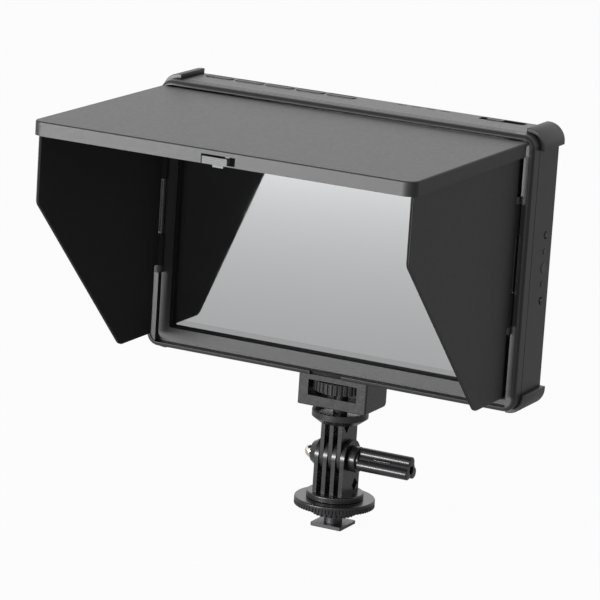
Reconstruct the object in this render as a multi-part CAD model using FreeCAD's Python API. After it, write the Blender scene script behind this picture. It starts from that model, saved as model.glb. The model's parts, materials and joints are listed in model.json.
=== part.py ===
import FreeCAD
import Part
import math
import os

# Camera field monitor with a folding sun hood, on a tilting shoe mount.
# Millimetres. +X is the monitor's width, the screen looks along -Y, +Z is up.
# The origin is the centre of the shoe foot's flat underside.
# The monitor is drawn in its own frame (front plane y = 0, underside z = 0)
# and then moved onto the mount, so most heights below are heights on the monitor.

os.makedirs("parts", exist_ok=True)
V = FreeCAD.Vector

# ---- general fits ----
running_gap = 0.06        # radial gap of a pin or bolt that turns in its hole
seat_gap = 0.2            # gap between a loose inner piece and its seat
moving_gap = 0.3          # gap between flat pieces of two moving bodies
edge_round = 0.8          # small round on moulded outer edges
front_round = 2.2         # round on the front frame's outer edge
rear_round = 1.2          # round on the rear shell's back edge

# ---- monitor case ----
body_width = 220.0
body_height = 147.0
body_depth = 34.0
corner_radius = 7.0
rim_wall = 2.4            # outer lip of the front frame
side_groove = 5.4         # groove beside the screen band, holds the flap hinges
bottom_groove = 3.0       # groove that takes the closed lid's front lip
top_groove = 6.1
groove_depth = 5.5
side_ledge = 3.0          # raised ledge along the rim in the side grooves
ledge_depth = 0.8         # the ledge behind the front plane
side_band = 6.2           # raised band round the screen
bottom_band = 6.4
top_band = 6.0
shell_wall = 2.2
guard_thickness = 2.4
guard_reach = 8.5         # how far a guard runs in from its corner
guard_setback = 0.3       # from the front frame's back
guard_overhang = 0.8
guard_round = 1.2
seam_line = 0.5           # shallow step where the two case halves meet
front_lines = (2.6, 5.2)  # shallow lines along the frame's top edge
line_width = 0.6
line_depth = 0.4
scoop_width = 18.6        # finger scoop in the frame's lower lip
scoop_rise = 2.0

# ---- screen stack ----
glass_depth = 3.8         # the glass lies this far behind the band's face
frame_floor = 2.7         # the frame's wall behind the groove
glass_thickness = 1.0
glass_lap = 2.0           # how far the glass runs behind the band
panel_thickness = 5.9
tray_thickness = 5.0
tray_wall = 1.0
panel_lap = 0.5
tray_lap = 1.5

# ---- hood ----
lid_axis_out = 1.55       # the lid's hinge pins stand in front of the case
lid_rear_gap = 2.0        # the open lid's rear edge stands off the front plane
lid_plate = 2.2
lid_lip_height = 7.5
lid_lip_wall = 1.8
lid_front_wall = 1.6
lid_side_clearance = 0.35
lid_corner = 6.0
lid_top_drop = 2.8        # lid's top face below the case's top
lid_lip_rest = 0.6        # the closed lid's front lip stands off the bottom rim
lid_over_flaps = 0.7      # gap between the closed lid's plate and the folded flaps
lid_pin_radius = 1.0
lid_knuckle_radius = 2.2
lid_knuckle_length = 7.0
lid_ear_length = 2.3
lid_knuckle_inset = 18.0  # from the case's side to the knuckle's middle
latch_middle = -2.1       # the slider stands off the middle, beside its hole
latch_width = 14.0
latch_travel = 1.2
latch_ribs = 4
latch_hole = 4.8          # open hole in the lip at the slider's right
latch_hole_foot = 0.6     # the lip left under the hole
latch_hook = 1.2
latch_hook_width = 6.0
latch_wing = 1.5          # the slider's wings behind the lip
latch_gap = 0.3
latch_back_play = 0.1     # between the closed slider and the lid's plate
latch_foot = 0.8          # the slider's wings and guides start this far up the lip
wing_thickness = 1.05
wing_play = 0.15
guide_thickness = 0.8
guide_lap = 1.2
latch_groove_half = 0.3
latch_groove_depth = 0.6
catch_front = 0.3         # catch notch that the slider's hook snaps into
catch_back = 3.2
catch_rise = 2.6

flap_thickness = 1.8
flap_reach = 131.0
flap_bottom = 8.5
flap_front_low = 101.0    # height where the flap's straight front edge ends
flap_bottom_run = 38.0
flap_top_play = 2.4       # between the flap's top edge and the lid's plate
flap_stack_gap = 0.3      # gap between stacked panels of the folded hood
flap_tab_low = 46.2
flap_tab_high = 110.8
flap_setback = 5.0        # the flap's rear edge beyond its hinge tab
flap_inset = 0.55         # from the lid's side lip to the flap's outer face
flap_tip_round = 7.0
flap_elbow_round = 5.0
flap_edge_round = 0.45
flap_corner_cut = 8.0      # slant on the top front corner, clear of the lid's round corner
flap_corner_gap = 1.1      # the slant starts this far under the lid's lip
flap_pin_radius = 0.9
flap_barrel_radius = 2.0
flap_ear_length = 4.0
flap_knuckle_length = 17.0
flap_spring_radius = 1.9
flap_spring_wall = 0.7

# ---- keys ----
key_length = 16.4
key_width = 5.6
key_pitch = 18.4
key_inset = 21.5          # from the case's left side to the first key's middle
key_back_margin = 0.7     # from the key's rear side to the rear wall
key_proud = 0.4
key_travel = 0.6
key_count = 5
key_flange = 0.8
key_flange_thickness = 0.8
key_top_round = 0.35
key_stem_radius = 1.4
key_play = 0.1            # free play above the switches and below the wall
key_slack = 0.25          # gap between a key and its hole
key_end_round = 2.2
key_switch_drop = 3.4     # top of the switches below the top wall
key_switch_height = 1.2
key_switch_half = 2.2
switch_inset = 30.7       # from the case's right side to the power switch
switch_slot_length = 26.0
switch_knob_length = 9.0
switch_width = 5.0
switch_travel = 8.0
switch_stem = 4.0
switch_slot_depth = 0.9
switch_slot_margin = 0.8  # from the knob to the slot's sides
switch_proud = 0.3
switch_stem_half = 0.9    # the stem's half thickness across its travel
switch_stem_gap = 0.3
switch_end_gap = 1.0
switch_box_height = 4.9
switch_box_half = 3.4
switch_box_end = 3.0
switch_box_floor = 2.0
switch_stem_low = 1.2     # the stem's end below the top wall
switch_rib_pitch = 1.2
side_key_y = 24.5
side_key_rise = 18.0      # top side key above the case's middle
side_key_pitch = 8.8
side_key_radii = (1.9, 1.3, 2.6, 1.3, 1.9)
side_key_travel = 0.5
side_key_proud = 0.35
side_key_flange = 0.7
side_key_round = 0.25
side_flange_thickness = 0.8
side_switch_half = 1.6
side_switch_height = 1.2
side_board_half = 4.0
side_board_margin = 5.0   # beyond the first and last key
side_key_play = 0.4
mark_slots = 4
mark_pitch = 8.5
mark_first_x = 20.0
mark_length = 5.0
mark_width = 1.0
mark_back = 1.7           # from the keys' middle line to a mark's
mark_depth = 0.6

# ---- inner pieces ----
board_width = 130.0
board_height = 78.0
board_thickness = 1.6
key_board_thickness = 1.2
board_seat = 0.05         # a key board's edge off the rear wall
board_gap = 3.0           # between the backlight tray and the main board
# the main board's chips: x and z from its middle, width, height, thickness
chip_sizes = ((-2.0, 1.0, 24.0, 22.0, 2.2), (27.0, 9.0, 14.0, 10.0, 1.4), (27.0, -9.0, 14.0, 10.0, 1.4),
              (-35.0, 0.0, 18.0, 12.0, 3.0))
board_screw_inset = 5.0
board_post_radius = 2.6
board_screw_radius = 1.0
speaker_radius = 11.0
speaker_depth = 6.0
speaker_out = 8.0         # speaker's centre beyond the main board's side edge
speaker_down = 5.5        # and below its lower edge
magnet_depth = 3.0
vent_count = 9
vent_pitch = 3.0
vent_height = 1.4
video_opening_long = 14.0     # opening of a full-size video socket
video_opening_short = 4.6
video_socket_depth = 11.0
video_socket_wall = 0.7
video_socket_pitch = 24.0
video_sockets_down = 4.0      # middle of the pair below the case's middle
video_board_lap = 6.0
screw_radius = 1.2
screw_head_radius = 2.4
screw_head_height = 1.4
screw_post_radius = 2.9
screw_recess = 2.0
screw_end_inset = 14.0        # end screws from the case's top and bottom
screw_mid_offset = 30.0       # middle screws above and below the case's middle
screw_post_gap = 1.4
insert_radius = 6.0
insert_depth = 7.0
insert_wall = 2.0
thread_radius = 3.175     # 1/4 inch tripod screw
thread_gap = 0.3          # round the screw where it passes through the block
thread_depth = 0.1        # the screw's body inside its thread
thread_left = 1.5         # thread left over above the screw's end
insert_floor = 0.5

# ---- rear battery plate ----
plate_width = 38.4
plate_height = 70.0
plate_thickness = 3.6
plate_rise = 4.5              # plate's middle above the case's middle
rail_height = 2.2
rail_width = 3.0
rail_lip = 1.5
release_width = 12.0
release_travel = 2.0
release_height = 6.8
release_margin = 3.0          # from the plate's lower edge to the catch's slot
plate_screw_radius = 0.95
plate_screw_head = 1.2        # height of the head, a little less than its recess
contact_width = 17.6
contact_height = 7.6
contact_drop = 12.0           # the contacts' middle below the plate's top
contact_pitch = 5.5
contact_blade = 1.6
contact_blade_half = 2.5
plate_screw_edge = 11.0       # the screws' middle from the plate's ends
plate_screw_inset = 2.7       # and from the rails' lips
rail_end = 4.0                # the rails end short of the plate's top
rail_lip_height = 1.0
release_floor = 1.2
release_gap = 0.1
release_step = 2.2            # from the catch's slot to the rails
release_ramp = 2.0
release_proud = 1.4

# ---- mount under the monitor ----
mount_axis_y = 22.0       # tripod thread's place behind the front plane
pad_thickness = 1.2
pad_inset = 1.0           # the pad's edge inside the block's and the case's
block_width = 41.0
block_depth = 26.0
block_front_reach = 12.0       # from the tripod thread to the block's front face
block_height = 18.2
block_round = 1.0
block_back_round = 2.5
block_low_round = 0.5
block_top_bevel = 0.9
block_top_wall = 3.7
window_width = 29.0
window_height = 8.7
wheel_play_low = 2.9          # thumb wheel above the window's floor
wheel_play_high = 0.3
thumb_radius = 15.4           # stands out of the block at front and back
thumb_ribs = 35
thumb_notch = 0.9             # radius of a rim notch
swivel_radius = 2.5
swivel_post_radius = 4.0
swivel_head_play = 0.3        # between the swivel screw's head and the thumb wheel
swivel_end = 1.5              # how far the screw reaches below the dish's floor
post_gap = 0.1                # between the clevis post and the block
dish_radius = 15.4
dish_gap = 2.7                # open gap between the block and the dish
dish_rim = 1.8
dish_recess = 1.5
dish_edge = 3.3
cone_height = 2.9
cone_radius = 11.6
finger_thickness = 2.3
finger_gap = 0.275
upper_finger_radius = 9.4     # half the depth of a finger, and its round end
lower_finger_radius = 10.1
upper_finger_length = 19.4    # from the cone to the tilt axis
lower_finger_length = 19.7
bolt_radius = 2.5
boss_radius = 9.0
boss_tip_radius = 5.8
boss_length = 5.2
nut_radius = 4.2
nut_proud = 2.2
nut_dome_sink = 1.2           # centre of the nut's dome behind the end of its six sides
nut_seat = 3.0
nut_floor = 0.3               # the nut's bore ends this far inside the boss
nut_bolt_play = 0.3
bolt_in_handle = 14.0
pocket_side = 5.2             # moulding pockets in the clevises' right faces
upper_pocket_half = 4.4
upper_pocket_forward = 3.6    # from the mount's axis
lower_pocket_back = 5.0
lower_pocket_rise = 4.2       # above the lower clevis's disc
pocket_depth = 1.3
handle_length = 29.9          # the grip alone
handle_core = 4.4
lobe_radius = 3.3
lobe_out = 3.8                # from the handle's axis to a lobe's
grip_rib = 0.6                # short ribs between the lobes
grip_rib_start = 9.0
grip_rib_length = 10.0
handle_bore = 2.4
handle_bore_depth = 12.0
handle_turn = -35.0           # first lobe's angle
handle_base_radius = 7.1      # round base of the handle against the clevis
handle_base_length = 4.4
handle_base_round = 0.4
handle_neck_radius = 5.6
handle_neck_length = 1.0
clevis_disc_radius = 15.6
clevis_disc = 3.1
wheel_radius = 22.0
wheel_thickness = 4.3
wheel_ribs = 72
wheel_notch = 0.65            # radius of a rim notch
wheel_rib_start = 1.6         # smooth part of the rim above its notches
wheel_hub_radius = 12.0
wheel_hub = 4.8
hub_ribs = 27
hub_notch = 1.0
stem_radius = 5.0
stem_seat = 2.0               # how far the foot's stem sits in the lower clevis
foot_side = 18.6          # standard accessory shoe foot
foot_thickness = 2.0
foot_corner = 1.0
foot_bevel = 0.4
rail_room = 4.9               # between the foot and the wheel's hub, for the shoe's rails

# ---- places worked out from the sizes above ----
half_w = body_width / 2
middle_z = body_height / 2
groove_outer_x = half_w - rim_wall
groove_inner_x = groove_outer_x - side_groove
opening_x = groove_inner_x - side_band
band_low = rim_wall + bottom_groove
opening_low = band_low + bottom_band
band_high = body_height - rim_wall - top_groove
opening_high = band_high - top_band
glass_back = glass_depth + glass_thickness
frame_depth = groove_depth + frame_floor      # the rest of the case's depth is the rear shell
cavity_x = half_w - shell_wall
inner_back = body_depth - shell_wall
panel_front = glass_back + seat_gap
tray_front = panel_front + panel_thickness + seat_gap
tray_back = tray_front + tray_thickness
board_front = tray_back + board_gap
board_back = board_front + board_thickness
board_low = middle_z - board_height / 2
board_high = middle_z + board_height / 2
speaker_x = board_width / 2 + speaker_out
speaker_z = board_low - speaker_down
plate_z = middle_z + plate_rise
plate_low = plate_z - plate_height / 2
plate_high = plate_z + plate_height / 2
plate_face = body_depth + plate_thickness

# keys
key_y = inner_back - key_back_margin - key_width / 2
key_first_x = key_inset - half_w
key_seat = body_height - shell_wall
key_switch_top = key_seat - key_switch_drop
switch_x = half_w - switch_inset
side_key_top = middle_z + side_key_rise
side_key_seat = half_w - shell_wall

# The right flap folds first, against the case; the left one lies over it.
right_axis_y = flap_barrel_radius - flap_stack_gap - flap_thickness
left_axis_y = right_axis_y - flap_thickness - flap_stack_gap

# The lid turns a quarter turn from level to shut: its front lip drops into the
# bottom groove and its plate stands in front of the case by closed_lid_stand.
closed_lid_stand = flap_barrel_radius - left_axis_y + lid_over_flaps + lid_plate
lid_top = body_height - lid_top_drop
lid_under = lid_top - lid_plate
lid_lip_low = lid_top - lid_lip_height
lid_half = groove_outer_x - lid_side_clearance
lid_axis_y = -lid_axis_out
lid_axis_z = lid_top - closed_lid_stand + lid_axis_out
lid_front = rim_wall + lid_lip_rest - lid_axis_z - lid_axis_out
lid_knuckle_x = half_w - lid_knuckle_inset
latch_top = lid_under - latch_gap - latch_travel - latch_back_play
latch_foot_z = lid_lip_low + latch_foot
latch_low_x = latch_middle - latch_width / 2
latch_high_x = latch_middle + latch_width / 2
wing_back = lid_front_wall + wing_play + wing_thickness

flap_top = lid_under - flap_top_play
flap_outer_x = lid_half - lid_lip_wall - flap_inset
flap_axis_x = flap_outer_x - flap_barrel_radius
flap_ear_low = flap_tab_low - seat_gap - flap_ear_length
flap_pin_length = flap_tab_high - flap_tab_low + 2 * (flap_ear_length + seat_gap)
lid_pin_length = lid_knuckle_length + 2 * (lid_ear_length + seat_gap)

# the mount's heights, as depths below the monitor's underside
block_bottom = pad_thickness + block_height
window_top = pad_thickness + block_top_wall
window_bottom = window_top + window_height
thumb_low = wheel_play_low - window_bottom
dish_top = block_bottom + dish_gap
dish_bottom = dish_top + dish_edge
cone_bottom = dish_bottom + cone_height
finger_pitch = 2 * (finger_thickness + finger_gap)
pivot_depth = cone_bottom + upper_finger_length
clevis_floor = pivot_depth + lower_finger_length
clevis_bottom = clevis_floor + clevis_disc
lock_top = clevis_bottom + moving_gap
lock_bottom = lock_top + wheel_thickness + wheel_hub
stand_height = lock_bottom + rail_room + foot_thickness
upper_half_span = finger_pitch + finger_thickness / 2
outer_finger_face = 1.5 * finger_pitch + finger_thickness / 2
base_start = outer_finger_face + moving_gap
handle_start = base_start + handle_base_length + handle_neck_length
boss_end = -outer_finger_face - boss_length
wheel_low = -lock_top - wheel_thickness


# ---- helpers ----
def box(x0, x1, y0, y1, z0, z1):
    return Part.makeBox(x1 - x0, y1 - y0, z1 - z0, V(x0, y0, z0))


def rod(radius, start, direction, length):
    return Part.makeCylinder(radius, length, V(*start), V(*direction))


def cone(radius_a, radius_b, start, direction, length):
    return Part.makeCone(radius_a, radius_b, length, V(*start), V(*direction))


def along(shape, axis):
    """The straight edges of a shape that run along one of the axes."""
    picked = []
    for edge in shape.Edges:
        if edge.Curve.TypeId != "Part::GeomLine":
            continue
        step = edge.Vertexes[-1].Point - edge.Vertexes[0].Point
        if step.Length > 0 and abs(step.dot(axis)) > 0.999 * step.Length:
            picked.append(edge)
    return picked


def edges_at(shape, test):
    """The edges whose middle point passes the test."""
    return [edge for edge in shape.Edges if test(edge.BoundBox.Center)]


def slab(x0, x1, y0, y1, z0, z1, radius, axis=V(0, 1, 0)):
    """A block with its four edges along the axis rounded."""
    block = box(x0, x1, y0, y1, z0, z1)
    return block.makeFillet(radius, along(block, axis))


def prism(points, start, step):
    """A polygon of (a, b, c) points, pushed along a step."""
    corners = [V(*point) for point in points]
    face = Part.Face(Part.makePolygon(corners + [corners[0]]))
    face.translate(V(*start))
    return face.extrude(V(*step))


def join(shapes):
    body = shapes[0]
    if len(shapes) > 1:
        body = body.fuse(shapes[1:])
    return body.removeSplitter()


def save(name, shape, on_monitor=True):
    """Writes one named piece, moved from the monitor's frame to the mount's."""
    placed = shape.copy()
    if on_monitor:
        placed.translate(V(0, -mount_axis_y, stand_height))
    placed.exportStep("parts/" + name + ".step")
    print(name, len(placed.Solids), placed.isValid(), round(placed.Volume / 1000, 2))


# ---- case ----
def ear(x0, x1, axis_y, axis_z, radius, back_y):
    """A hinge ear along X that stands out of the frame to a pin axis."""
    nose = rod(radius, (x0, axis_y, axis_z), (1, 0, 0), x1 - x0)
    root = box(x0, x1, axis_y, back_y, axis_z - radius, axis_z + radius)
    return join([nose, root])


def flap_ears(side, axis_y):
    """The two ears that hold a flap's pin, above and below its tab."""
    ears = []
    for low in (flap_ear_low, flap_tab_high + seat_gap):
        nose = rod(flap_barrel_radius, (side * flap_axis_x, axis_y, low), (0, 0, 1), flap_ear_length)
        near = flap_axis_x - flap_barrel_radius
        far = flap_axis_x + flap_barrel_radius
        x0, x1 = sorted((side * near, side * far))
        root = box(x0, x1, axis_y, groove_depth + 0.5, low, low + flap_ear_length)
        ears += [nose, root]
    return ears


def flap_pin_hole(side, axis_y, radius):
    return rod(radius, (side * flap_axis_x, axis_y, flap_ear_low - 1), (0, 0, 1), flap_pin_length + 2)


def barrel_pocket(side, axis_y):
    """Room in the band for the turning barrel of a flap."""
    reach = flap_barrel_radius + moving_gap
    x0, x1 = sorted((side * (flap_axis_x - reach), side * (flap_axis_x + reach)))
    return box(x0, x1, -1, axis_y + reach, flap_tab_low - seat_gap, flap_tab_high + seat_gap)


def front_frame():
    outer = slab(-half_w, half_w, 0, frame_depth, 0, body_height, corner_radius)
    front_rim = edges_at(outer, lambda p: p.y < 0.01)
    outer = outer.makeFillet(front_round, front_rim)
    groove = box(-groove_outer_x, groove_outer_x, -1, groove_depth, rim_wall, body_height - rim_wall)
    groove = groove.makeFillet(corner_radius - rim_wall, along(groove, V(0, 1, 0)))
    filled = [slab(-groove_inner_x, groove_inner_x, -2, groove_depth + 1, band_low, band_high, 3.0)]
    for side in (-1, 1):
        x0, x1 = sorted((side * (groove_outer_x - side_ledge), side * groove_outer_x))
        filled.append(box(x0, x1, ledge_depth, groove_depth + 1, rim_wall, body_height - rim_wall))
    frame = outer.cut(groove.cut(filled))
    opening = slab(-opening_x, opening_x, -1, frame_depth + 1, opening_low, opening_high, 1.5)
    frame = frame.cut(opening)
    glass_seat = box(-opening_x - glass_lap, opening_x + glass_lap, glass_depth, frame_depth + 1,
                     opening_low - glass_lap, opening_high + glass_lap)
    frame = frame.cut(glass_seat)
    # hinges: ears for the lid's pins and for the flaps' pins
    added = []
    for side in (-1, 1):
        inner = lid_knuckle_x - lid_knuckle_length / 2 - seat_gap - lid_ear_length
        outer_ear = lid_knuckle_x + lid_knuckle_length / 2 + seat_gap
        for start in (inner, outer_ear):
            x0, x1 = sorted((side * start, side * (start + lid_ear_length)))
            added.append(ear(x0, x1, lid_axis_y, lid_axis_z, lid_knuckle_radius, groove_depth + 0.5))
    added += flap_ears(-1, left_axis_y)
    added += flap_ears(1, right_axis_y)
    knuckle_room = []
    for side in (-1, 1):
        half = lid_knuckle_length / 2 + seat_gap
        knuckle_room.append(box(side * lid_knuckle_x - half, side * lid_knuckle_x + half, -1,
                                lid_axis_y + lid_knuckle_radius + moving_gap,
                                lid_axis_z - lid_knuckle_radius - moving_gap, band_high + 1))
    pockets = [barrel_pocket(-1, left_axis_y), barrel_pocket(1, right_axis_y)] + knuckle_room
    frame = frame.cut(pockets)
    frame = join([frame] + added)
    holes = [flap_pin_hole(-1, left_axis_y, flap_pin_radius)]
    holes.append(flap_pin_hole(1, right_axis_y, flap_pin_radius))
    for side in (-1, 1):
        start = side * lid_knuckle_x - lid_pin_length / 2 - 0.5
        holes.append(rod(lid_pin_radius, (start, lid_axis_y, lid_axis_z), (1, 0, 0), lid_pin_length + 1))
    # finger scoop in the lower lip, catch notch in the band
    half = scoop_width / 2
    scoop = prism([(0, -1, -1), (0, groove_depth, -1), (0, -1, rim_wall + scoop_rise)],
                  (-half, 0, 0), (scoop_width, 0, 0))
    scoop = scoop.common(box(-half, half, -1, groove_depth, -1, rim_wall + 0.1))
    half = latch_hook_width / 2 + latch_gap
    catch = box(-half, half, catch_front, catch_back, band_low - 1, band_low + catch_rise)
    # two shallow lines along the top and the screw holes from behind
    reach = half_w - corner_radius - 5
    line_low = body_height - line_depth
    lines = [box(-reach, reach, y, y + line_width, line_low, body_height + 1) for y in front_lines]
    screws = [rod(screw_radius, (x, screw_tip(), z), (0, 1, 0), frame_depth) for x, z in screw_places()]
    return frame.cut(holes + [scoop, catch] + lines + screws).removeSplitter()


def screw_places():
    x = cavity_x - screw_post_radius - screw_post_gap
    heights = (screw_end_inset, middle_z - screw_mid_offset, middle_z + screw_mid_offset,
               body_height - screw_end_inset)
    return [(side * x, z) for side in (-1, 1) for z in heights]


def screw_tip():
    """Where a case screw ends, behind the frame's groove."""
    return groove_depth + 1.0


def key_place(index):
    return key_first_x + index * key_pitch


def side_key_height(index):
    return side_key_top - index * side_key_pitch


def rear_shell():
    outer = slab(-half_w, half_w, frame_depth, body_depth, 0, body_height, corner_radius)
    outer = outer.makeFillet(rear_round, edges_at(outer, lambda p: p.y > body_depth - 0.01))
    cavity = slab(-cavity_x, cavity_x, frame_depth - 1, inner_back, shell_wall, body_height - shell_wall,
                  corner_radius - shell_wall)
    shell = outer.cut(cavity)
    seam = slab(-half_w - 1, half_w + 1, frame_depth - 1, frame_depth + seam_line, -1, body_height + 1, 1.0)
    seam = seam.cut(slab(-half_w + seam_line, half_w - seam_line, frame_depth - 2, frame_depth + 2,
                         seam_line, body_height - seam_line, corner_radius - seam_line))
    shell = shell.cut(seam)
    posts = []
    for x, z in screw_places():
        posts.append(rod(screw_post_radius, (x, frame_depth, z), (0, 1, 0), inner_back - frame_depth + 0.5))
    for x, z in board_posts():
        posts.append(rod(board_post_radius, (x, board_back, z), (0, 1, 0), inner_back - board_back + 0.5))
    reach = insert_radius + insert_wall
    seat = box(-reach, reach, mount_axis_y - reach, inner_back + 0.5, shell_wall - 0.5, insert_depth + 1.5)
    shell = join([shell, seat] + posts)
    cuts = []
    for x, z in screw_places():
        cuts.append(rod(screw_radius + 0.1, (x, frame_depth - 1, z), (0, 1, 0), body_depth))
        cuts.append(rod(screw_head_radius + 0.2, (x, body_depth - screw_recess, z), (0, 1, 0), 5))
    for x, z in board_posts():
        cuts.append(rod(board_screw_radius, (x, board_back - 1, z), (0, 1, 0), 6))
    cuts.append(rod(insert_radius, (0, mount_axis_y, -1), (0, 0, 1), insert_depth + 1))
    for index in range(key_count):
        x = key_place(index)
        reach = key_length / 2 + key_slack
        wide = key_width / 2 + key_slack
        cuts.append(slab(x - reach, x + reach, key_y - wide, key_y + wide, body_height - shell_wall - 1,
                         body_height + 1, key_end_round + 0.2, V(0, 0, 1)))
    half_slot = switch_slot_length / 2
    wide = switch_width / 2
    wide += switch_slot_margin
    cuts.append(slab(switch_x - half_slot, switch_x + half_slot, key_y - wide, key_y + wide,
                     body_height - switch_slot_depth, body_height + 1, 2.0, V(0, 0, 1)))
    half_slot = (switch_travel + switch_stem) / 2 + switch_end_gap
    wide = switch_stem_half + switch_stem_gap
    cuts.append(box(switch_x - half_slot, switch_x + half_slot, key_y - wide, key_y + wide,
                    body_height - shell_wall - 1, body_height))
    for index in range(mark_slots):
        x = mark_first_x + index * mark_pitch
        y = key_y + mark_back - mark_width / 2
        cuts.append(box(x - mark_length / 2, x + mark_length / 2, y, y + mark_width,
                        body_height - mark_depth, body_height + 1))
    for index, radius in enumerate(side_key_radii):
        cuts.append(rod(radius + 0.2, (side_key_seat - 1, side_key_y, side_key_height(index)),
                        (1, 0, 0), shell_wall + 2))
    for z in video_socket_heights():
        cuts.append(video_socket_block(z, -half_w - 1, 1 - cavity_x))
    for row in range(vent_count):
        z = speaker_z + (row - (vent_count - 1) / 2) * vent_pitch
        for x in (-speaker_x, speaker_x):
            cuts.append(slab(x - speaker_radius - 1, x + speaker_radius + 1, inner_back - 1, body_depth + 1,
                             z - vent_height / 2, z + vent_height / 2, 0.6))
    for x, z in plate_screws():
        cuts.append(rod(plate_screw_radius + 0.05, (x, inner_back - 1, z), (0, 1, 0), shell_wall + 2))
    return shell.cut(cuts).removeSplitter()


def corner_guard(side_x, side_z):
    """A rubber cap that wraps one corner of the case from front to back."""
    grow = guard_thickness
    y0 = frame_depth + guard_setback
    y1 = body_depth + guard_overhang
    outer = slab(-half_w - grow, half_w + grow, y0, y1, -grow, body_height + grow, corner_radius + grow)
    outer = outer.makeFillet(guard_round, edges_at(outer, lambda p: p.y < y0 + 0.01 or p.y > y1 - 0.01))
    core = slab(-half_w, half_w, y0 - 1, body_depth, 0, body_height, corner_radius)
    core = core.makeFillet(rear_round, edges_at(core, lambda p: p.y > body_depth - 0.01))
    ring = outer.cut(core)
    x = side_x * half_w
    z = body_height if side_z > 0 else 0.0
    x0, x1 = sorted((x - side_x * guard_reach, x + side_x * 2 * grow))
    z0, z1 = sorted((z - side_z * guard_reach, z + side_z * 2 * grow))
    return ring.common(box(x0, x1, y0 - 1, y1 + 1, z0, z1))


# ---- screen ----
def cover_glass():
    lap = glass_lap - seat_gap
    return slab(-opening_x - lap, opening_x + lap, glass_depth, glass_back,
                opening_low - lap, opening_high + lap, 1.0)


def lcd_panel():
    return slab(-opening_x - panel_lap, opening_x + panel_lap, panel_front, panel_front + panel_thickness,
                opening_low - panel_lap, opening_high + panel_lap, 1.0)


def backlight_tray():
    """The tray behind the panel, with its light guide inside."""
    tray = slab(-opening_x - tray_lap, opening_x + tray_lap, tray_front, tray_back,
                opening_low - tray_lap, opening_high + tray_lap, 1.5)
    rim = opening_x - 2
    hollow = box(-rim, rim, tray_front - 1, tray_back - tray_wall, opening_low + 2, opening_high - 2)
    guide = box(1 - rim, rim - 1, tray_front + seat_gap, tray_back - tray_wall + 0.5,
                opening_low + 3, opening_high - 3)
    return join([tray.cut(hollow), guide])


# ---- electronics ----
def board_posts():
    x = board_width / 2 - board_screw_inset
    z = board_height / 2 - board_screw_inset
    return [(side * x, middle_z + level * z) for side in (-1, 1) for level in (-1, 1)]


def main_board():
    board = slab(-board_width / 2, board_width / 2, board_front, board_back, board_low, board_high, 2.0)
    holes = [rod(board_screw_radius + 0.2, (x, board_front - 1, z), (0, 1, 0), board_thickness + 2)
             for x, z in board_posts()]
    return board.cut(holes)


def board_chips():
    """The larger chips on the back of the main board."""
    chips = []
    for x, z, width, height, thick in chip_sizes:
        chips.append(box(x - width / 2, x + width / 2, board_back, board_back + thick,
                         middle_z + z - height / 2, middle_z + z + height / 2))
    return Part.makeCompound(chips)


def board_screws():
    screws = []
    head_height = 1.4
    for x, z in board_posts():
        head = rod(2 * board_screw_radius, (x, board_front - head_height, z), (0, 1, 0), head_height)
        shank = rod(board_screw_radius, (x, board_front - 0.2, z), (0, 1, 0), board_thickness + 3.4)
        screws.append(join([head, shank]))
    return Part.makeCompound(screws)


def video_socket_heights():
    z = middle_z - video_sockets_down
    return (z - video_socket_pitch / 2, z + video_socket_pitch / 2)


def video_socket_block(z, x0, x1, wall=video_socket_wall):
    """A block of a socket's outline, which stands on the back of its board."""
    y0 = board_front + video_socket_wall - wall
    long_half = video_opening_long / 2 + wall
    return box(x0, x1, y0, y0 + video_opening_short + 2 * wall, z - long_half, z + long_half)


def video_socket(z):
    """A video socket in the left wall, opening to the left."""
    x0 = 0.4 - half_w
    shell = video_socket_block(z, x0, x0 + video_socket_depth)
    back_wall = 1.2
    return shell.cut(video_socket_block(z, x0 - 1, x0 + video_socket_depth - back_wall, 0.0))


def socket_board():
    """The strip of board that carries both sockets beside the main board."""
    low, high = video_socket_heights()
    reach = video_opening_long / 2 + video_socket_wall + 1
    return box(-cavity_x + seat_gap, -board_width / 2 + video_board_lap, board_front - board_thickness,
               board_front, low - reach, high + reach)


def speaker():
    x = speaker_x
    z = speaker_z
    back = inner_back - seat_gap
    front = back - speaker_depth
    cup = rod(speaker_radius, (x, front, z), (0, 1, 0), speaker_depth)
    magnet_start = (x, front - magnet_depth, z)
    magnet = rod(speaker_radius / 2 + 0.5, magnet_start, (0, 1, 0), magnet_depth + 0.5)
    dish = cone(speaker_radius - 7, speaker_radius - 2, (x, back - 2.5, z), (0, 1, 0), 2.6)
    return join([cup, magnet]).cut(dish)


def shell_screws():
    screws = []
    seat = body_depth - screw_recess
    top = seat + screw_head_height
    for x, z in screw_places():
        head = rod(screw_head_radius, (x, seat, z), (0, 1, 0), screw_head_height)
        shank = rod(screw_radius, (x, screw_tip() + 0.1, z), (0, 1, 0), seat - screw_tip())
        recess = box(x - 1.5, x + 1.5, top - 0.7, top + 1, z - 0.35, z + 0.35)
        cross = box(x - 0.35, x + 0.35, top - 0.7, top + 1, z - 1.5, z + 1.5)
        screws.append(join([head, shank]).cut([recess, cross]))
    return Part.makeCompound(screws)


def tripod_insert():
    body = rod(insert_radius, (0, mount_axis_y, 0), (0, 0, 1), insert_depth)
    bore = rod(thread_radius, (0, mount_axis_y, -1), (0, 0, 1), insert_depth + 1 - insert_floor)
    return body.cut(bore)


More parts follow.
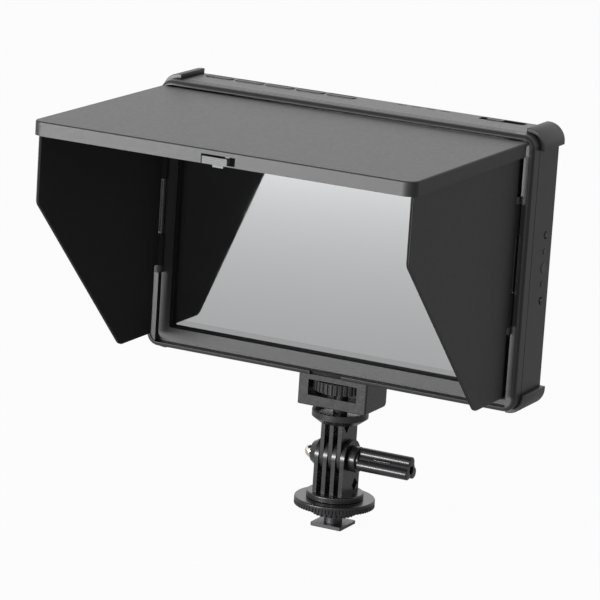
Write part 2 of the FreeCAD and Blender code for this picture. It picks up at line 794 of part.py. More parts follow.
# ---- keys ----
def function_key(index):
    """A press key: cap, flange under the top wall and the stem on its switch."""
    x = key_place(index)
    half = key_length / 2
    wide = key_width / 2
    top = body_height + key_proud
    cap = slab(x - half, x + half, key_y - wide, key_y + wide, key_seat - 0.2, top, key_end_round,
               V(0, 0, 1))
    cap = cap.makeFillet(key_top_round, edges_at(cap, lambda p: p.z > top - 0.01))
    flange_top = key_seat - key_play
    flange = box(x - half - key_flange, x + half + key_flange, key_y - wide - key_flange,
                 key_y + wide, flange_top - key_flange_thickness, flange_top)
    stem_low = key_switch_top + key_play + key_travel
    stem = rod(key_stem_radius, (x, key_y, stem_low), (0, 0, 1), flange_top - 0.3 - stem_low)
    return join([cap, flange, stem])


def top_key_board():
    """A narrow board with one switch under each top key."""
    top = key_switch_top - key_switch_height
    last = key_place(key_count - 1)
    board = box(key_first_x - key_length / 2, last + key_length / 2, key_y - 2 * key_switch_half,
                inner_back - board_seat, top - key_board_thickness, top)
    switches = []
    for index in range(key_count):
        x = key_place(index)
        switches.append(box(x - key_switch_half, x + key_switch_half, key_y - key_switch_half,
                            key_y + key_switch_half, top - 0.1, key_switch_top))
    return join([board] + switches)


def power_switch():
    """The ribbed slide knob in its sunken slot, at the off end of its travel."""
    half = switch_knob_length / 2
    x = switch_x - switch_travel / 2
    wide = switch_width / 2
    knob = slab(x - half, x + half, key_y - wide, key_y + wide, body_height - switch_slot_depth + 0.05,
                body_height + switch_proud, 1.2, V(0, 0, 1))
    ribs = []
    for step in range(-2, 3):
        middle = x + step * switch_rib_pitch
        ribs.append(box(middle - 0.2, middle + 0.2, key_y - wide, key_y + wide, body_height, body_height + 1))
    thin = switch_stem_half
    stem = box(x - switch_stem / 2, x + switch_stem / 2, key_y - thin, key_y + thin,
               key_seat - switch_stem_low, body_height - 0.5)
    return join([knob.cut(ribs), stem])


def power_switch_body():
    """The electrical switch under the knob, open on top along the stem's travel."""
    high = key_seat - key_play
    low = high - switch_box_height
    reach = (switch_travel + switch_stem) / 2 + switch_end_gap
    end = reach + switch_box_end
    half = switch_box_half
    body = box(switch_x - end, switch_x + end, key_y - half, key_y + half, low, high)
    wide = switch_stem_half + switch_stem_gap
    slot = box(switch_x - reach, switch_x + reach, key_y - wide, key_y + wide, low + switch_box_floor,
               key_seat + 1)
    return body.cut(slot)


def side_key(index):
    radius = side_key_radii[index]
    z = side_key_height(index)
    start = side_key_seat - 0.2
    proud = half_w + side_key_proud
    cap = rod(radius, (start, side_key_y, z), (1, 0, 0), proud - start)
    cap = cap.makeFillet(side_key_round, edges_at(cap, lambda p: p.x > proud - 0.01))
    flange_start = start + 0.1 - side_flange_thickness
    flange = rod(radius + side_key_flange, (flange_start, side_key_y, z), (1, 0, 0), side_flange_thickness)
    return join([cap, flange])


def side_key_board():
    """An upright board with one switch behind each side key."""
    face = side_key_seat - side_flange_thickness - side_key_play + 0.1 - side_key_travel
    board_face = face - side_switch_height
    low = side_key_height(len(side_key_radii) - 1) - side_board_margin
    board = box(board_face - key_board_thickness, board_face, side_key_y - side_board_half,
                inner_back - board_seat, low, side_key_top + side_board_margin)
    half = side_switch_half
    switches = []
    for index in range(len(side_key_radii)):
        z = side_key_height(index)
        switches.append(box(board_face - 0.1, face, side_key_y - half, side_key_y + half, z - half, z + half))
    return join([board] + switches)


# ---- hood ----
def hood_lid():
    """The lid's plate with its front lip and knuckles, and the two side lips along its edges."""
    plate = box(-lid_half, lid_half, lid_front, -lid_rear_gap, lid_lip_low, lid_top)
    corners = [edge for edge in along(plate, V(0, 0, 1)) if edge.BoundBox.Center.y < lid_front + 1]
    plate = plate.makeFillet(lid_corner, corners)
    plate = plate.makeFillet(edge_round, edges_at(plate, lambda p: p.z > lid_top - 0.01))
    inner = box(-lid_half + lid_lip_wall, lid_half - lid_lip_wall, lid_front + lid_front_wall, 5,
                lid_lip_low - 1, lid_under)
    corners = [edge for edge in along(inner, V(0, 0, 1)) if edge.BoundBox.Center.y < 0]
    inner = inner.makeFillet(lid_corner - lid_lip_wall, corners)
    lid = plate.cut(inner)
    # the lips end short of the case, so they swing clear of it
    lid = lid.cut(box(-lid_half - 1, lid_half + 1, -lid_rear_gap - 1.5, 1, lid_lip_low - 1, lid_under))
    knuckles = []
    for side in (-1, 1):
        x0 = side * lid_knuckle_x - lid_knuckle_length / 2
        start = (x0, lid_axis_y, lid_axis_z)
        knuckles.append(rod(lid_knuckle_radius, start, (1, 0, 0), lid_knuckle_length))
        knuckles.append(box(x0, x0 + lid_knuckle_length, lid_axis_y - lid_knuckle_radius, -lid_rear_gap,
                            lid_axis_z, lid_under + 0.5))
    lid = join([lid] + knuckles)
    cuts = []
    for side in (-1, 1):
        x0 = side * lid_knuckle_x - lid_knuckle_length / 2 - 1
        cuts.append(rod(lid_pin_radius + running_gap, (x0, lid_axis_y, lid_axis_z), (1, 0, 0),
                        lid_knuckle_length + 2))
    lip_end = lid_front + lid_front_wall + 0.1
    cuts.append(box(latch_low_x - latch_gap, latch_high_x + latch_gap, lid_front - 1, lip_end,
                    lid_lip_low - 1, lid_under - latch_gap))
    cuts.append(box(latch_high_x, latch_high_x + latch_hole, lid_front - 1, lip_end,
                    lid_lip_low + latch_hole_foot, lid_under - latch_gap))
    lid = lid.cut(cuts).removeSplitter()
    side_lips = []
    for side in (-1, 1):
        x0, x1 = sorted((side * (lid_half - lid_lip_wall), side * (lid_half + 1)))
        strip = box(x0, x1, lid_front + lid_corner, 0, lid_lip_low - 1, lid_under)
        side_lips.append(lid.common(strip))
        lid = lid.cut(strip)
    return Part.makeCompound([lid] + side_lips)


def lid_latch():
    """The sprung slider in the lid's front lip, ribbed for a thumb."""
    x0 = latch_low_x
    x1 = latch_high_x
    lip_back = lid_front + lid_front_wall
    face = box(x0, x1, lid_front + 0.1, lip_back, lid_lip_low, latch_top)
    wing_top = latch_top - seat_gap
    wing = box(x0 - latch_wing, x1, lip_back + wing_play, lid_front + wing_back, latch_foot_z, wing_top)
    web = box(x0, x1, lip_back - 0.1, lip_back + wing_play + 0.1, latch_foot_z, wing_top)
    hook_front = lid_front + 0.5
    root = lid_lip_low + 0.5
    low = lid_lip_low - latch_hook
    hook = prism([(0, hook_front, root), (0, hook_front, low), (0, lip_back, low),
                  (0, lip_back + 1.1, lid_lip_low), (0, lip_back, root)],
                 (-latch_hook_width / 2, 0, 0), (latch_hook_width, 0, 0))
    rib_pitch = (latch_top - lid_lip_low) / latch_ribs
    grooves = []
    for index in range(latch_ribs):
        z = lid_lip_low + (index + 0.5) * rib_pitch
        grooves.append(box(x0 - 1, x1 + 1, lid_front - 1, lid_front + latch_groove_depth,
                           z - latch_groove_half, z + latch_groove_half))
    return join([face.cut(grooves), wing, web, hook])


def latch_guides():
    """Two rails behind the slider that keep it in place; the left one is also fixed to the lip."""
    wing_end = latch_low_x - latch_wing
    back = lid_front + wing_back + seat_gap
    behind = back + guide_thickness
    left = box(wing_end - guide_lap, wing_end + guide_lap, back, behind, latch_foot_z, lid_under)
    web = box(wing_end - guide_lap, wing_end - seat_gap, lid_front + lid_front_wall, behind, latch_foot_z,
              lid_under)
    right = box(latch_high_x - 2 * guide_lap, latch_high_x, back, behind, latch_foot_z, lid_under)
    return Part.makeCompound([join([left, web]), right])


def lid_pins():
    pins = []
    for side in (-1, 1):
        start = side * lid_knuckle_x - lid_pin_length / 2
        pins.append(rod(lid_pin_radius, (start, lid_axis_y, lid_axis_z), (1, 0, 0), lid_pin_length))
    return Part.makeCompound(pins)


def flap(side, axis_y):
    """A side flap, open straight ahead, with its hinge tab and two knuckles."""
    x0, x1 = sorted((side * flap_outer_x, side * (flap_outer_x - flap_thickness)))
    front = axis_y - flap_reach
    rear = axis_y - flap_setback
    outline = [(0, rear, flap_bottom), (0, axis_y - flap_bottom_run, flap_bottom),
               (0, front, flap_front_low), (0, front, lid_lip_low - flap_corner_gap),
               (0, front + flap_corner_cut, flap_top), (0, rear, flap_top)]
    panel = prism(outline, (x0, 0, 0), (x1 - x0, 0, 0))
    turned = along(panel, V(1, 0, 0))
    tip = [edge for edge in turned
           if edge.BoundBox.Center.z < flap_bottom + 1 and edge.BoundBox.Center.y < rear - 1]
    panel = panel.makeFillet(flap_tip_round, tip)
    elbow = [edge for edge in along(panel, V(1, 0, 0))
             if abs(edge.BoundBox.Center.z - flap_front_low) < 1 and edge.BoundBox.Center.y < front + 1]
    panel = panel.makeFillet(flap_elbow_round, elbow)
    middle = (x0 + x1) / 2
    rim = edges_at(panel, lambda p: p.y < rear - 1 and abs(p.x - middle) > flap_thickness / 2 - 0.01)
    panel = panel.makeFillet(flap_edge_round, rim)
    tab = box(x0, x1, rear - 0.5, axis_y, flap_tab_low, flap_tab_high)
    knuckles = []
    for low in (flap_tab_low, flap_tab_high - flap_knuckle_length):
        start = (side * flap_axis_x, axis_y, low)
        knuckles.append(rod(flap_barrel_radius, start, (0, 0, 1), flap_knuckle_length))
    body = join([panel, tab] + knuckles)
    spring_low = flap_tab_low + flap_knuckle_length
    spring_high = flap_tab_high - flap_knuckle_length
    reach = flap_barrel_radius + 0.4
    window = box(x0 - 1, x1 + 1, axis_y - reach, axis_y + reach, spring_low, spring_high)
    # the top edge is cut away where the folded flap passes the lid's hinge
    ear_far = lid_knuckle_x - lid_knuckle_length / 2 - lid_ear_length - 2 * seat_gap
    ear_near = lid_knuckle_x + lid_knuckle_length / 2 + lid_ear_length + 2 * seat_gap
    notch_front = axis_y - (flap_axis_x - ear_far) - 1
    notch_back = axis_y - (flap_axis_x - ear_near) + 3.0
    notch = box(x0 - 1, x1 + 1, notch_front, notch_back, lid_axis_z - lid_knuckle_radius - 0.6, flap_top + 1)
    bore = flap_pin_hole(side, axis_y, flap_pin_radius + running_gap)
    return body.cut([window, notch, bore]).removeSplitter()


def flap_pin(side, axis_y):
    return rod(flap_pin_radius, (side * flap_axis_x, axis_y, flap_ear_low), (0, 0, 1), flap_pin_length)


def flap_spring(side, axis_y):
    """The wound spring on a flap's pin, as the sleeve that its coils fill."""
    low = flap_tab_low + flap_knuckle_length + seat_gap
    length = flap_tab_high - flap_tab_low - 2 * (flap_knuckle_length + seat_gap)
    sleeve = rod(flap_spring_radius, (side * flap_axis_x, axis_y, low), (0, 0, 1), length)
    return sleeve.cut(rod(flap_spring_radius - flap_spring_wall, (side * flap_axis_x, axis_y, low - 1),
                          (0, 0, 1), length + 2))


# ---- rear battery plate ----
def plate_screws():
    x = plate_width / 2 - rail_width - rail_lip - plate_screw_inset
    z = plate_height / 2 - plate_screw_edge
    return [(side * x, plate_z + level * z) for side in (-1, 1) for level in (-1, 1)]


def battery_plate():
    """A plate with two rails that a battery slides down into."""
    half = plate_width / 2
    plate = slab(-half, half, body_depth, plate_face, plate_low, plate_high, 3.0)
    rails = []
    rail_low = plate_low + release_margin + release_travel + release_height + release_step
    rail_high = plate_high - rail_end
    rail_face = plate_face + rail_height
    for side in (-1, 1):
        x0, x1 = sorted((side * half, side * (half - rail_width)))
        x2, x3 = sorted((side * half, side * (half - rail_width - rail_lip)))
        post = box(x0, x1, plate_face - 0.5, rail_face, rail_low, rail_high)
        lip = box(x2, x3, rail_face - rail_lip_height, rail_face, rail_low, rail_high)
        rails += [post, lip]
    plate = join([plate] + rails)
    reach = release_width / 2 + moving_gap
    slot_low = plate_low + release_margin
    slot_high = slot_low + release_travel + release_height + moving_gap
    cuts = [box(-reach, reach, body_depth + release_floor, plate_face + 3, slot_low, slot_high)]
    cuts.append(contact_block(seat_gap, plate_face + 3))
    for x, z in plate_screws():
        cuts.append(rod(plate_screw_radius + 0.15, (x, body_depth - 1, z), (0, 1, 0), plate_thickness + 5))
        seat = (x, plate_face - plate_screw_head - 0.2, z)
        cuts.append(rod(2 * plate_screw_radius + 0.2, seat, (0, 1, 0), 5))
    return plate.cut(cuts)


def contact_block(gap, back):
    """The contact block's outline in the plate, with a gap all round."""
    wide = contact_width / 2 + gap
    tall = contact_height / 2 + gap
    z = plate_high - contact_drop
    return box(-wide, wide, body_depth + 1.0, back, z - tall, z + tall)


def battery_contacts():
    block = contact_block(0.0, plate_face + 1.2)
    blades = []
    half = contact_blade / 2
    z = plate_high - contact_drop
    for x in (-contact_pitch, 0.0, contact_pitch):
        blades.append(box(x - half, x + half, plate_face + 1.0, plate_face + 1.7,
                          z - contact_blade_half, z + contact_blade_half))
    return join([block] + blades)


def plate_fixings():
    screws = []
    for x, z in plate_screws():
        seat = plate_face - plate_screw_head - 0.2
        head = rod(2 * plate_screw_radius, (x, seat, z), (0, 1, 0), plate_screw_head)
        shank = rod(plate_screw_radius, (x, inner_back + 0.1, z), (0, 1, 0), seat + 0.1 - inner_back)
        screws.append(join([head, shank]))
    return Part.makeCompound(screws)


def battery_release():
    """The sprung catch that is pushed down to free a battery."""
    base = plate_low + release_margin + release_travel + release_gap
    half = release_width / 2
    top = base + release_height
    button = box(-half, half, body_depth + release_floor + release_gap, plate_face + release_proud, base, top)
    root = plate_face + 1.0
    ramp = prism([(0, root, top), (0, root + release_ramp, top), (0, root, base + release_height / 2)],
                 (-half, 0, 0), (release_width, 0, 0))
    return join([button, ramp])


# ---- mount ----
def mount_pad():
    """The thin rubber pad between the case and the block, which stops at the case's back."""
    half = block_width / 2 - pad_inset
    front = mount_axis_y - block_front_reach + pad_inset
    back = body_depth - pad_inset
    pad = slab(-half, half, front, back, -pad_thickness, 0, block_round, V(0, 0, 1))
    return pad.cut(rod(thread_radius + thread_gap, (0, mount_axis_y, -5), (0, 0, 1), 10))


def mount_block():
    """The block under the case, with a window that the thumb wheel stands out of."""
    half = block_width / 2
    front = mount_axis_y - block_front_reach
    back = front + block_depth
    block = box(-half, half, front, back, -block_bottom, -pad_thickness)
    rear_low = [edge for edge in along(block, V(1, 0, 0))
                if edge.BoundBox.Center.y > back - 0.01 and edge.BoundBox.Center.z < -block_bottom + 0.01]
    block = block.makeFillet(block_back_round, rear_low)
    block = block.makeFillet(block_round, along(block, V(0, 0, 1)))
    front_low = edges_at(block, lambda p: p.z < -block_bottom + 0.01 and p.y < front + block_round + 0.1)
    block = block.makeFillet(block_low_round, front_low)
    block = block.makeChamfer(block_top_bevel, edges_at(block, lambda p: p.z > -pad_thickness - 0.01))
    window = box(-window_width / 2, window_width / 2, front - 1, back + 1, -window_bottom, -window_top)
    room = rod(thumb_radius + moving_gap, (0, mount_axis_y, -window_bottom), (0, 0, 1), window_height)
    slots = [window, room,
             rod(thread_radius + thread_gap, (0, mount_axis_y, -window_top - 1), (0, 0, 1), window_top + 2),
             rod(swivel_radius + running_gap, (0, mount_axis_y, -block_bottom - 1), (0, 0, 1),
                 block_bottom - window_bottom + 2)]
    return block.cut(slots)


def rim_notches(circle, radius, count, low, high):
    """Upright notches round a wheel on the mount's axis, from a low to a high level."""
    notches = []
    for index in range(count):
        turn = 2 * math.pi * index / count
        x = circle * math.cos(turn)
        y = circle * math.sin(turn)
        notches.append(rod(radius, (x, mount_axis_y + y, low), (0, 0, 1), high - low))
    return notches


def thumb_wheel():
    """The ribbed wheel in the block's window, on the tripod screw."""
    low = thumb_low
    high = -window_top - wheel_play_high
    wheel = rod(thumb_radius, (0, mount_axis_y, low), (0, 0, 1), high - low)
    wheel = wheel.cut(rim_notches(thumb_radius, thumb_notch, thumb_ribs, low - 1, high + 1))
    return wheel.cut(rod(thread_radius - thread_depth, (0, mount_axis_y, low - 1), (0, 0, 1), 20))


def tripod_screw():
    length = insert_depth - thread_left - thumb_low
    return rod(thread_radius - thread_depth, (0, mount_axis_y, thumb_low), (0, 0, 1), length)


def swivel_screw():
    """The screw that the block turns on, with its flat head in the window."""
    head_low = 0.1 - window_bottom
    head = rod(swivel_post_radius, (0, mount_axis_y, head_low), (0, 0, 1), wheel_play_low - swivel_head_play)
    tip = swivel_screw_tip()
    shank = rod(swivel_radius, (0, mount_axis_y, tip), (0, 0, 1), head_low + 0.1 - tip)
    return join([head, shank])


def swivel_screw_tip():
    return -dish_top - dish_recess - swivel_end


def finger(place, radius, z0, z1):
    """One clevis finger: a round end about the tilt axis and its straight part."""
    x = place * finger_pitch
    half = finger_thickness / 2
    end = rod(radius, (x - half, mount_axis_y, -pivot_depth), (1, 0, 0), finger_thickness)
    bar = box(x - half, x + half, mount_axis_y - radius, mount_axis_y + radius, z0, z1)
    return join([end, bar])


def upper_clevis():
    """Swivel dish, cone and three fingers."""
    centre = (0, mount_axis_y)
    dish = rod(dish_radius, centre + (-dish_bottom,), (0, 0, 1), dish_edge)
    dish = dish.cut(rod(dish_radius - dish_rim, centre + (-dish_top - dish_recess,), (0, 0, 1), 5))
    post = rod(swivel_post_radius, centre + (-dish_bottom,), (0, 0, 1), dish_bottom - block_bottom - post_gap)
    taper = cone(cone_radius, dish_radius, centre + (-cone_bottom,), (0, 0, 1), cone_height)
    fingers = [finger(place, upper_finger_radius, -pivot_depth, 1 - cone_bottom) for place in (-1, 0, 1)]
    body = join([dish, post, taper] + fingers)
    cuts = [rod(bolt_radius + running_gap, (boss_end, mount_axis_y, -pivot_depth), (1, 0, 0), 40)]
    cuts.append(rod(swivel_radius, centre + (swivel_screw_tip(),), (0, 0, 1), 10))
    half = upper_pocket_half
    place = (upper_half_span - pocket_depth, mount_axis_y - upper_pocket_forward, -cone_bottom)
    pocket = prism([(0, -half, 0), (0, half, 0), (0, 0, -pocket_side)], place, (2, 0, 0))
    return body.cut(cuts + [pocket])


def acorn_nut():
    start = boss_end - nut_proud
    base = rod(nut_radius, (start, mount_axis_y, -pivot_depth), (1, 0, 0), nut_proud + nut_seat)
    dome = Part.makeSphere(nut_radius, V(start + nut_dome_sink, mount_axis_y, -pivot_depth))
    reach = start - 2 * nut_radius
    dome = dome.common(rod(2 * nut_radius, (reach, mount_axis_y, -pivot_depth), (1, 0, 0), start + 1 - reach))
    bore = rod(bolt_radius + running_gap, (boss_end + nut_floor, mount_axis_y, -pivot_depth), (1, 0, 0), 10)
    return join([base, dome]).cut(bore)


def cross_bolt():
    start = boss_end + nut_floor + nut_bolt_play
    length = base_start + bolt_in_handle - start
    return rod(bolt_radius, (start, mount_axis_y, -pivot_depth), (1, 0, 0), length)


def bolt_handle():
    """The three-lobed handle on the cross bolt, with a round base and a hollow end."""
    base = rod(handle_base_radius, (base_start, mount_axis_y, -pivot_depth), (1, 0, 0), handle_base_length)
    base = base.makeFillet(handle_base_round, base.Edges)
    neck = rod(handle_neck_radius, (base_start + 1, mount_axis_y, -pivot_depth), (1, 0, 0),
               handle_base_length + handle_neck_length)
    core = rod(handle_core, (handle_start, mount_axis_y, -pivot_depth), (1, 0, 0), handle_length)
    lobes = []
    for index in range(3):
        turn = math.radians(handle_turn + 120 * index)
        y = mount_axis_y + lobe_out * math.cos(turn)
        z = -pivot_depth + lobe_out * math.sin(turn)
        lobes.append(rod(lobe_radius, (handle_start, y, z), (1, 0, 0), handle_length))
        y = mount_axis_y - handle_core * math.cos(turn)
        z = -pivot_depth - handle_core * math.sin(turn)
        lobes.append(rod(grip_rib, (handle_start + grip_rib_start, y, z), (1, 0, 0), grip_rib_length))
    body = join([base, neck, core] + lobes)
    end = handle_start + handle_length
    cuts = [rod(handle_bore, (end - handle_bore_depth, mount_axis_y, -pivot_depth), (1, 0, 0), 20),
            rod(bolt_radius, (base_start - 1, mount_axis_y, -pivot_depth), (1, 0, 0), bolt_in_handle + 1)]
    return body.cut(cuts)


def lower_clevis():
    """Four fingers on a round disc, between and beside the upper ones, and the nut's boss."""
    centre = (0, mount_axis_y)
    disc = rod(clevis_disc_radius, centre + (-clevis_bottom,), (0, 0, 1), clevis_disc)
    disc = disc.makeFillet(edge_round, edges_at(disc, lambda p: p.z > -clevis_floor - 0.01))
    places = (-1.5, -0.5, 0.5, 1.5)
    fingers = [finger(place, lower_finger_radius, -clevis_floor - 0.5, -pivot_depth) for place in places]
    boss = cone(boss_tip_radius, boss_radius, (boss_end, mount_axis_y, -pivot_depth), (1, 0, 0),
                boss_length + 0.2)
    body = join([disc] + fingers + [boss])
    cuts = [rod(bolt_radius + running_gap, (boss_end - 1, mount_axis_y, -pivot_depth), (1, 0, 0), 40),
            rod(nut_radius, (boss_end - 1, mount_axis_y, -pivot_depth), (1, 0, 0), nut_seat + 1),
            rod(stem_radius, centre + (-clevis_bottom - 1,), (0, 0, 1), stem_seat + 1)]
    half = pocket_side / 2
    pocket = box(outer_finger_face - pocket_depth, outer_finger_face + 1, -half, half, -half, half)
    pocket.rotate(V(0, 0, 0), V(1, 0, 0), 45)
    pocket.translate(V(0, mount_axis_y + lower_pocket_back, lower_pocket_rise - clevis_floor))
    return body.cut(cuts + [pocket])


def lock_wheel():
    """The ribbed wheel that is screwed down to clamp the foot in its shoe."""
    wheel = rod(wheel_radius, (0, mount_axis_y, wheel_low), (0, 0, 1), wheel_thickness)
    wheel = wheel.makeFillet(edge_round, edges_at(wheel, lambda p: p.z > -lock_top - 0.01))
    hub = rod(wheel_hub_radius, (0, mount_axis_y, -lock_bottom), (0, 0, 1), wheel_hub + 0.5)
    wheel = join([wheel, hub])
    rib_top = -lock_top - wheel_rib_start
    notches = rim_notches(wheel_radius, wheel_notch, wheel_ribs, wheel_low - 1, rib_top)
    notches += rim_notches(wheel_hub_radius, hub_notch, hub_ribs, -lock_bottom - 1, wheel_low)
    bore = rod(stem_radius + running_gap, (0, mount_axis_y, -stand_height), (0, 0, 1), stand_height)
    return wheel.cut(notches + [bore])


def shoe_foot():
    half = foot_side / 2
    bottom = -stand_height
    top = bottom + foot_thickness
    plate = slab(-half, half, mount_axis_y - half, mount_axis_y + half, bottom, top, foot_corner,
                 V(0, 0, 1))
    plate = plate.makeChamfer(foot_bevel, edges_at(plate, lambda p: p.z < bottom + 0.01))
    stem_low = bottom + foot_thickness - 0.5
    stem = rod(stem_radius, (0, mount_axis_y, stem_low), (0, 0, 1), stem_seat - clevis_bottom - stem_low)
    return join([plate, stem])


# ---- build every piece ----
save("front_frame", front_frame())
save("rear_shell", rear_shell())
save("guard_top_left", corner_guard(-1, 1))
save("guard_top_right", corner_guard(1, 1))
save("guard_bottom_left", corner_guard(-1, -1))
save("guard_bottom_right", corner_guard(1, -1))
save("cover_glass", cover_glass())
save("lcd_panel", lcd_panel())
save("backlight_tray", backlight_tray())
save("main_board", main_board())
save("board_chips", board_chips())
save("board_screws", board_screws())
for number, height in enumerate(video_socket_heights(), 1):
    save("video_socket_" + str(number), video_socket(height))
save("socket_board", socket_board())
save("speaker", speaker())
save("shell_screws", shell_screws())
save("tripod_insert", tripod_insert())
for number in range(key_count):
    save("function_key_" + str(number + 1), function_key(number))
save("top_key_board", top_key_board())
save("power_switch", power_switch())
save("power_switch_body", power_switch_body())
for number in range(len(side_key_radii)):
    save("side_key_" + str(number + 1), side_key(number))
save("side_key_board", side_key_board())
save("hood_lid", hood_lid())
save("lid_latch", lid_latch())
save("latch_guides", latch_guides())
save("lid_pins", lid_pins())
save("left_flap", flap(-1, left_axis_y))
save("right_flap", flap(1, right_axis_y))
save("left_flap_pin", flap_pin(-1, left_axis_y))
save("right_flap_pin", flap_pin(1, right_axis_y))
save("left_flap_spring", flap_spring(-1, left_axis_y))
save("right_flap_spring", flap_spring(1, right_axis_y))
save("battery_plate", battery_plate())
save("battery_contacts", battery_contacts())
save("plate_fixings", plate_fixings())
save("battery_release", battery_release())
save("mount_pad", mount_pad())
save("mount_block", mount_block())
save("thumb_wheel", thumb_wheel())
save("tripod_screw", tripod_screw())
save("swivel_screw", swivel_screw())
save("upper_clevis", upper_clevis())
save("acorn_nut", acorn_nut())
save("cross_bolt", cross_bolt())
save("bolt_handle", bolt_handle())
save("lower_clevis", lower_clevis())
save("lock_wheel", lock_wheel())
save("shoe_foot", shoe_foot())
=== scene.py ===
"""Looks of a camera field monitor with a folding sun hood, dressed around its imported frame.

The case, hood and mount come from the frame and get their finishes here. The wound springs, rubber
guards, screen gasket, keys, handle, nut and the sockets' contacts are modelled here in final form.
"""
import json
import math

import bmesh
import bpy
from bpy.props import FloatProperty, FloatVectorProperty, IntProperty, PointerProperty
from mathutils import Matrix, Vector


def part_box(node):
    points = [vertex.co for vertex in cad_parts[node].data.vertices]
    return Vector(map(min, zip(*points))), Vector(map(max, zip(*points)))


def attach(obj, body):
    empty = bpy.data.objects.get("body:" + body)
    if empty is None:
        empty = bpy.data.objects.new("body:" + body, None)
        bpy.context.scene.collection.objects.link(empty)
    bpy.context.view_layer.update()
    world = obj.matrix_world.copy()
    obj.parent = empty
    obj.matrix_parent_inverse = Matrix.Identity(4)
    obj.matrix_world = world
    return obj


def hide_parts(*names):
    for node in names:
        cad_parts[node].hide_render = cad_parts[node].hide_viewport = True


bl_info = {
    "name": "Field Monitor Dresser",
    "version": (1, 0, 0),
    "blender": (4, 5, 0),
    "location": "View3D > Sidebar > Monitor",
    "description": "Gives a field monitor with a sun hood its finishes, small pieces and studio",
    "category": "Object",
}

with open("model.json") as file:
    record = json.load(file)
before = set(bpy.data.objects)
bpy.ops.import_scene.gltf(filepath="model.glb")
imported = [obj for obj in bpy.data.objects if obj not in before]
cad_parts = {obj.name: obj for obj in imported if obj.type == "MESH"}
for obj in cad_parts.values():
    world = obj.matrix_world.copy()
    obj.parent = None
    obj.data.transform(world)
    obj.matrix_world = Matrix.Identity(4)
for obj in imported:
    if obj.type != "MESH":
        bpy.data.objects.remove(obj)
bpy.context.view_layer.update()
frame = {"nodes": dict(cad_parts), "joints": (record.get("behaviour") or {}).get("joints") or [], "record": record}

MM = 0.001
ALONG = 0.9               # a direction's share along an axis, from which it counts as along it
ON_EDGE = 0.00001         # an edge this near a place is the edge at that place
DOUBLES = 0.000001        # vertices closer than this are one
GLASS_LAP = 1.8 * MM      # how far the cover glass runs behind the band round it
GLOSS_CHANGE = 0.02       # how far a moulded surface's roughness wanders either way


# ---- places read from the frame ----
def middle(node):
    """The centre of a CAD node's box."""
    low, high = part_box(node)
    return (low + high) / 2


def frame_joint(name):
    """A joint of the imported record, by its name."""
    return next(joint for joint in frame["joints"] if joint["name"] == name)


# ---- settings a user may change ----
class MonitorFinish(bpy.types.PropertyGroup):
    """Colours and surface of the monitor's materials."""

    case_colour: FloatVectorProperty(
        name="Case plastic", description="Colour of the moulded case", subtype="COLOR",
        size=3, min=0, max=1, default=(0.017, 0.017, 0.018))
    hood_colour: FloatVectorProperty(
        name="Hood plastic", description="Colour of the lid and the flaps", subtype="COLOR",
        size=3, min=0, max=1, default=(0.015, 0.015, 0.016))
    rubber_colour: FloatVectorProperty(
        name="Rubber", description="Colour of the corner guards", subtype="COLOR",
        size=3, min=0, max=1, default=(0.013, 0.013, 0.013))
    mount_colour: FloatVectorProperty(
        name="Mount plastic", description="Colour of the swivel and tilt mount", subtype="COLOR",
        size=3, min=0, max=1, default=(0.011, 0.011, 0.012))
    screen_colour: FloatVectorProperty(
        name="Screen mirror", description="How much the glass reflects over the panel", subtype="COLOR",
        size=3, min=0, max=1, default=(0.465, 0.469, 0.474))
    border_colour: FloatVectorProperty(
        name="Screen border", description="How much the glass reflects over its printed border",
        subtype="COLOR", size=3, min=0, max=1, default=(0.395, 0.398, 0.402))
    chrome_colour: FloatVectorProperty(
        name="Nut plating", description="Warm chrome of the acorn nut", subtype="COLOR",
        size=3, min=0, max=1, default=(0.780, 0.740, 0.690))
    grain: FloatProperty(
        name="Grain size", description="Size of the moulded grain", subtype="DISTANCE", unit="LENGTH",
        min=0.0001, max=0.002, default=0.00045)
    grain_depth: FloatProperty(
        name="Grain depth", description="Depth of the moulded grain", subtype="DISTANCE", unit="LENGTH",
        min=0, max=0.0005, default=0.00003)


class MonitorDetail(bpy.types.PropertyGroup):
    """Sizes of the small pieces that are modelled here."""

    wire: FloatProperty(
        name="Spring wire", description="Radius of the flap springs' wire", subtype="DISTANCE",
        unit="LENGTH", min=0.0002, max=0.001, default=0.00034)
    coil_pitch: FloatProperty(
        name="Coil pitch", description="Height of one turn of a flap spring", subtype="DISTANCE",
        unit="LENGTH", min=0.0005, max=0.003, default=0.00102)
    guard_round: FloatProperty(
        name="Guard rounding", description="Rounding of the rubber guards' edges", subtype="DISTANCE",
        unit="LENGTH", min=0, max=0.001, default=0.0007)
    gasket: FloatProperty(
        name="Gasket", description="Thickness of the screen's gasket", subtype="DISTANCE", unit="LENGTH",
        min=0.0001, max=0.001, default=0.0003)
    key_dish: FloatProperty(
        name="Key dish", description="How deep a top key's cap is dished", subtype="DISTANCE",
        unit="LENGTH", min=0, max=0.001, default=0.00025)
    handle_round: FloatProperty(
        name="Handle rounding", description="Rounding of the handle's base and lobe ends",
        subtype="DISTANCE", unit="LENGTH", min=0, max=0.001, default=0.00055)
    contact_count: IntProperty(
        name="Socket contacts", description="Contacts on each side of a socket's tongue", min=1, max=12,
        default=9)


